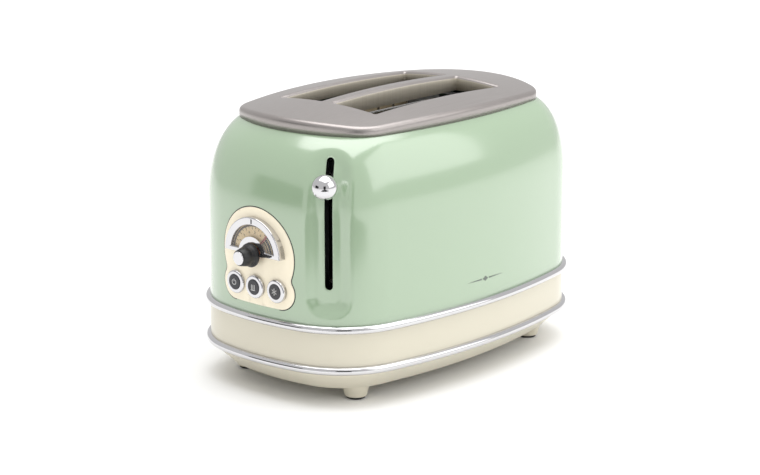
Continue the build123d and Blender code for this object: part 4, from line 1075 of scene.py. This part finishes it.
def makeDial():
    d = dial
    place = facingEnd(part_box("dial_scale")[0].x, 0, knobHeight)
    ink = bmesh.new()
    for n in range(d["tickCount"]):
        turn = math.radians(d["tickStart"] - n * d["tickPitch"])
        inner = d["longInner"] if n % 2 == 0 else d["tickInner"]
        radius = (d["tickOuter"] + inner) / 2
        addBar(ink, d["tickOuter"] - inner, d["tickWidth"], turn,
               (radius * math.cos(turn), radius * math.sin(turn)), -d["ink"], d["ink"])
    # the dark brown arc round the rim, in the ticks' ink, is painted shadow that the frame casts on the scale
    addSector(ink, d["tickOuter"], d["windowRadius"], d["frameShadowStart"], d["frameShadowEnd"], -d["ink"], d["ink"], 40)
    addPiece("dialTicksAndShadow", finishPrint(ink, place), "housing", "dial_face", "dial_ink_and_shadow")
    dark = bmesh.new()
    addSector(dark, d["hubRadius"], d["windowRadius"], d["darkStart"], d["darkEnd"], -d["ink"], d["ink"], 24)
    addPiece("dialDarkSector", finishPrint(dark, place), "housing", "dial_face", "dial_shade")
    stripes = bmesh.new()
    for n in range(d["stripeCount"]):
        radius = d["hubRadius"] + d["stripeStart"] + n * d["stripePitch"]
        addSector(stripes, radius, radius + d["stripeWidth"], d["darkStart"] + d["stripeInset"],
                  d["darkEnd"] - d["stripeInset"], -d["ink"], 2 * d["ink"], 20)
    addPiece("dialStripes", finishPrint(stripes, place), "housing", "dial_face")
    numbers = bmesh.new()
    for n in range(d["numberCount"]):
        turn = math.radians(d["numberStart"] - n * d["numberPitch"])
        text = bpy.data.curves.new("number", "FONT")
        text.body = str(n + 1)
        text.size = d["numberHeight"]
        text.extrude = d["ink"]
        text.align_x = "CENTER"
        text.align_y = "CENTER"
        letter = bpy.data.objects.new("number", text)
        bpy.context.scene.collection.objects.link(letter)
        mesh = finishedMesh(letter)
        bpy.data.objects.remove(letter)
        centre = (d["numberRadius"] * math.cos(turn), d["numberRadius"] * math.sin(turn), 0)
        mesh.transform(Matrix.Translation(centre) @ Matrix.Rotation(turn - math.pi / 2, 4, "Z"))
        numbers.from_mesh(mesh)
    bmesh.ops.remove_doubles(numbers, verts=numbers.verts, dist=1e-7)
    addPiece("dialNumbers", finishPrint(numbers, place), "housing", "dial_face", "dial_ink_and_shadow")
    notch = bmesh.new()
    addBar(notch, d["notchOuter"] - d["notchInner"], d["notchWidth"], math.pi / 2,
           (0, (d["notchInner"] + d["notchOuter"]) / 2), -d["notchDepth"], d["notchProud"])
    notchPlace = facingEnd(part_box("dial_frame")[0].x, 0, knobHeight)
    addPiece("dialNotch", finishPrint(notch, notchPlace), "housing", "black_plastic")


makeDial()
print("dial")


# pictograms on the buttons: an open ring with a bar, three heat bars over a line, and a frost star
mark = {"proud": 0.00012, "stroke": 0.0005, "ringRadius": 0.0021, "barLength": 0.0036, "barPitch": 0.0014,
        "starReach": 0.0026, "twigLength": 0.0011, "twigAt": 0.0017}


def makeButtonMarks():
    m = mark
    low, high = -m["proud"], m["proud"]
    for name in ("cancel", "reheat", "defrost"):
        bm = bmesh.new()
        if name == "cancel":
            addSector(bm, m["ringRadius"] - m["stroke"], m["ringRadius"], 118, 422, low, high, 36)
            addBar(bm, m["ringRadius"], m["stroke"], math.pi / 2, (0, m["ringRadius"] * 0.75), low, high)
        if name == "reheat":
            for n in (-1, 0, 1):
                addBar(bm, m["barLength"], m["stroke"], math.pi / 2, (n * m["barPitch"], 0), low, high)
            addBar(bm, m["barLength"] * 1.15, m["stroke"], 0, (0, -m["barLength"] * 0.62), low, high)
        if name == "defrost":
            for n in range(3):
                turn = math.pi / 2 + n * math.pi / 3
                addBar(bm, 2 * m["starReach"], m["stroke"] * 0.8, turn, (0, 0), low, high)
                for side in (-1, 1):
                    x, y = side * m["twigAt"] * math.cos(turn), side * m["twigAt"] * math.sin(turn)
                    addBar(bm, m["twigLength"], m["stroke"] * 0.7, turn + math.pi / 2, (x, y), low, high)
        buttonLow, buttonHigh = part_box(name + "_button")
        middle = (buttonLow + buttonHigh) / 2
        finishPrint(bm, facingEnd(buttonLow.x, middle.y, middle.z))
        addPiece(name + "Mark", bm, name + "_button", "dark_button", "button_mark")


makeButtonMarks()
print("button marks")


# small plain ornament low on the long side: a lozenge between two tapering lines
ornament = {"centre": (0.0045, 0.0755), "lineLength": 0.0155, "lineRoot": 0.0011,
            "lozenge": (0.0030, 0.0019), "gap": 0.0012, "proud": 0.00015, "longEdge": 0.004, "cuts": 6}


def makeOrnament():
    o = ornament
    length, height = o["lozenge"]
    bm = bmesh.new()
    slab(bm, [(-length, 0), (0, -height), (length, 0), (0, height)], -o["proud"], o["proud"])
    for side in (-1, 1):
        start, end = side * (length + o["gap"]), side * (length + o["gap"] + o["lineLength"])
        outline = [(start, -o["lineRoot"] / 2), (end, 0), (start, o["lineRoot"] / 2)]
        slab(bm, outline[::side], -o["proud"], o["proud"])
    longEdges = [edge for edge in bm.edges if edge.calc_length() > o["longEdge"]]
    bmesh.ops.subdivide_edges(bm, edges=longEdges, cuts=o["cuts"], use_grid_fill=True)
    for vert in bm.verts:
        x, z, stand = o["centre"][0] + vert.co.x, o["centre"][1] + vert.co.y, vert.co.z
        hit = shellSurface.ray_cast(Vector((x, -0.2, z)), Vector((0, 1, 0)))[0]
        vert.co = (x, hit.y - stand, z)
    bmesh.ops.recalc_face_normals(bm, faces=bm.faces)
    addPiece("sideOrnament", bm, "housing", "mint_paint", "ornament_grey")


makeOrnament()
print("ornament")


# springs: real coils in place of the plain sleeves
springs = {
    "carriage": {"wire": 0.0008, "turns": 15, "ring": 10, "stepsPerTurn": 18, "gap": 0.0001},
    "button": {"wire": 0.0003, "turns": 5, "ring": 8, "stepsPerTurn": 14, "gap": 0.0001, "slack": 0.0008},
}


def coil(bm, s, radius, length, place):
    steps = s["turns"] * s["stepsPerTurn"]
    part = bmesh.new()
    made = bmesh.ops.create_circle(part, segments=s["ring"], radius=s["wire"], cap_ends=False)
    bmesh.ops.rotate(part, verts=part.verts, cent=(0, 0, 0), matrix=Matrix.Rotation(math.pi / 2, 3, "X"))
    bmesh.ops.translate(part, verts=part.verts, vec=(radius, 0, s["wire"] + s["gap"]))
    rise = length - 2 * (s["wire"] + s["gap"])
    bmesh.ops.spin(part, geom=part.verts[:] + part.edges[:], cent=(0, 0, 0), axis=(0, 0, 1),
                   dvec=(0, 0, rise / steps), angle=2 * math.pi * s["turns"], steps=steps,
                   use_duplicate=False)
    bmesh.ops.holes_fill(part, edges=[edge for edge in part.edges if edge.is_boundary], sides=0)
    bmesh.ops.recalc_face_normals(part, faces=part.faces)
    part.transform(place)
    mesh = bpy.data.meshes.new("coil")
    part.to_mesh(mesh)
    part.free()
    bm.from_mesh(mesh)


def makeSprings():
    low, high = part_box("carriage_spring")
    bm = bmesh.new()
    outer = (high.x - low.x) / 2
    place = Matrix.Translation((rodMiddle.x, rodMiddle.y, low.z))
    coil(bm, springs["carriage"], outer - springs["carriage"]["wire"], high.z - low.z, place)
    tall = addPiece("carriageSpring", bm, "housing", "wire_steel", smoothAngle=80)
    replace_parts(tall, "carriage_spring")
    length = high.z - low.z
    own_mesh(tall)
    low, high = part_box("button_springs")
    length = high.x - low.x - springs["button"]["slack"]
    for name in ("cancel", "reheat", "defrost"):
        buttonLow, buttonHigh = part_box(name + "_button")
        middleY, middleZ = (buttonLow.y + buttonHigh.y) / 2, (buttonLow.z + buttonHigh.z) / 2
        outer = (high.z - low.z) / 2
        bm = bmesh.new()
        coil(bm, springs["button"], outer - springs["button"]["wire"], length,
             facingEnd(high.x, middleY, middleZ))
        short = addPiece(name + "Spring", bm, "housing", "wire_steel", smoothAngle=80)
        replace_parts(short, "button_springs")
        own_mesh(short)


makeSprings()
print("springs")


# floor, soft lights, and the dark screens, dark carpet and pale room that the chrome reflects
studio = {
    "floorColour": (246, 246, 245), "floorShade": (243, 243, 243), "floorSize": 14.0,
    "lights": {
        "above": {"place": (0.2, 0.0, 2.6), "size": (3.0, 3.0), "power": 72.0},
        "side": {"place": (0.9, -2.3, 1.5), "size": (3.0, 2.0), "power": 24.0},
    },
    "screens": {
        "behindViewer": {"place": (-1.75, -1.62, 0.55), "size": (0.8, 1.1)},
        "farEnd": {"place": (-2.3, 1.2, 0.5), "size": (1.6, 0.8)},
        "carpet": {"place": (-0.85, -0.76, 0.002), "size": (1.3, 0.55), "turn": 41.7},
    },
    "aim": (0, 0, 0.1), "screenColour": (34, 34, 34), "screenShade": (28, 28, 28), "room": 0.72,
}


def makeStagePiece(name, size, place, aim, finish, turn=0):
    bm = bmesh.new()
    bmesh.ops.create_grid(bm, x_segments=1, y_segments=1, size=0.5)
    bmesh.ops.scale(bm, verts=bm.verts, vec=(size[0], size[1], 1))
    if aim:
        look = (Vector(aim) - Vector(place)).to_track_quat("Z", "Y").to_matrix().to_4x4()
        bm.transform(Matrix.Translation(place) @ look)
    else:
        bm.transform(Matrix.Translation(place) @ Matrix.Rotation(math.radians(turn), 4, "Z"))
    mesh = bpy.data.meshes.new(name)
    bm.to_mesh(mesh)
    bm.free()
    mesh.materials.append(finish)
    piece = bpy.data.objects.new(name, mesh)
    bpy.context.scene.collection.objects.link(piece)
    return piece


def makeStageFinish(name, colour, shade):
    finish, tree, shader, where = startFinish(name)
    tone = placeEffect(tree, toneDrift, where, Scale=1.5, Colour=linear(colour), Shade=linear(shade))
    tree.links.new(tone.outputs["Color"], shader.inputs["Base Color"])
    shader.inputs["Roughness"].default_value = 0.9
    return finish


def makeStudio(s):
    makeStagePiece("floor", (s["floorSize"], s["floorSize"]), (0, 0, 0), None,
                   makeStageFinish("paleFloor", s["floorColour"], s["floorShade"]))
    screenFinish = makeStageFinish("screenCloth", s["screenColour"], s["screenShade"])
    for name, screen in s["screens"].items():
        turn = screen.get("turn")
        dark = makeStagePiece(name, screen["size"], screen["place"], None if turn else s["aim"],
                              screenFinish, turn or 0)
        dark.visible_camera = dark.visible_diffuse = dark.visible_shadow = False    # only reflections show it
    for name, lamp in s["lights"].items():
        light = bpy.data.lights.new(name, "AREA")
        light.shape = "RECTANGLE"
        light.size, light.size_y = lamp["size"]
        light.energy = lamp["power"]
        piece = bpy.data.objects.new(name, light)
        bpy.context.scene.collection.objects.link(piece)
        piece.location = lamp["place"]
        piece.rotation_euler = (Vector(s["aim"]) - piece.location).to_track_quat("-Z", "Y").to_euler()
    world = bpy.data.worlds.new("room")
    bpy.context.scene.world = world
    world.use_nodes = True
    background = world.node_tree.nodes["Background"]
    background.inputs["Color"].default_value = (1, 1, 1, 1)
    background.inputs["Strength"].default_value = s["room"]


makeStudio(studio)
print("studio")
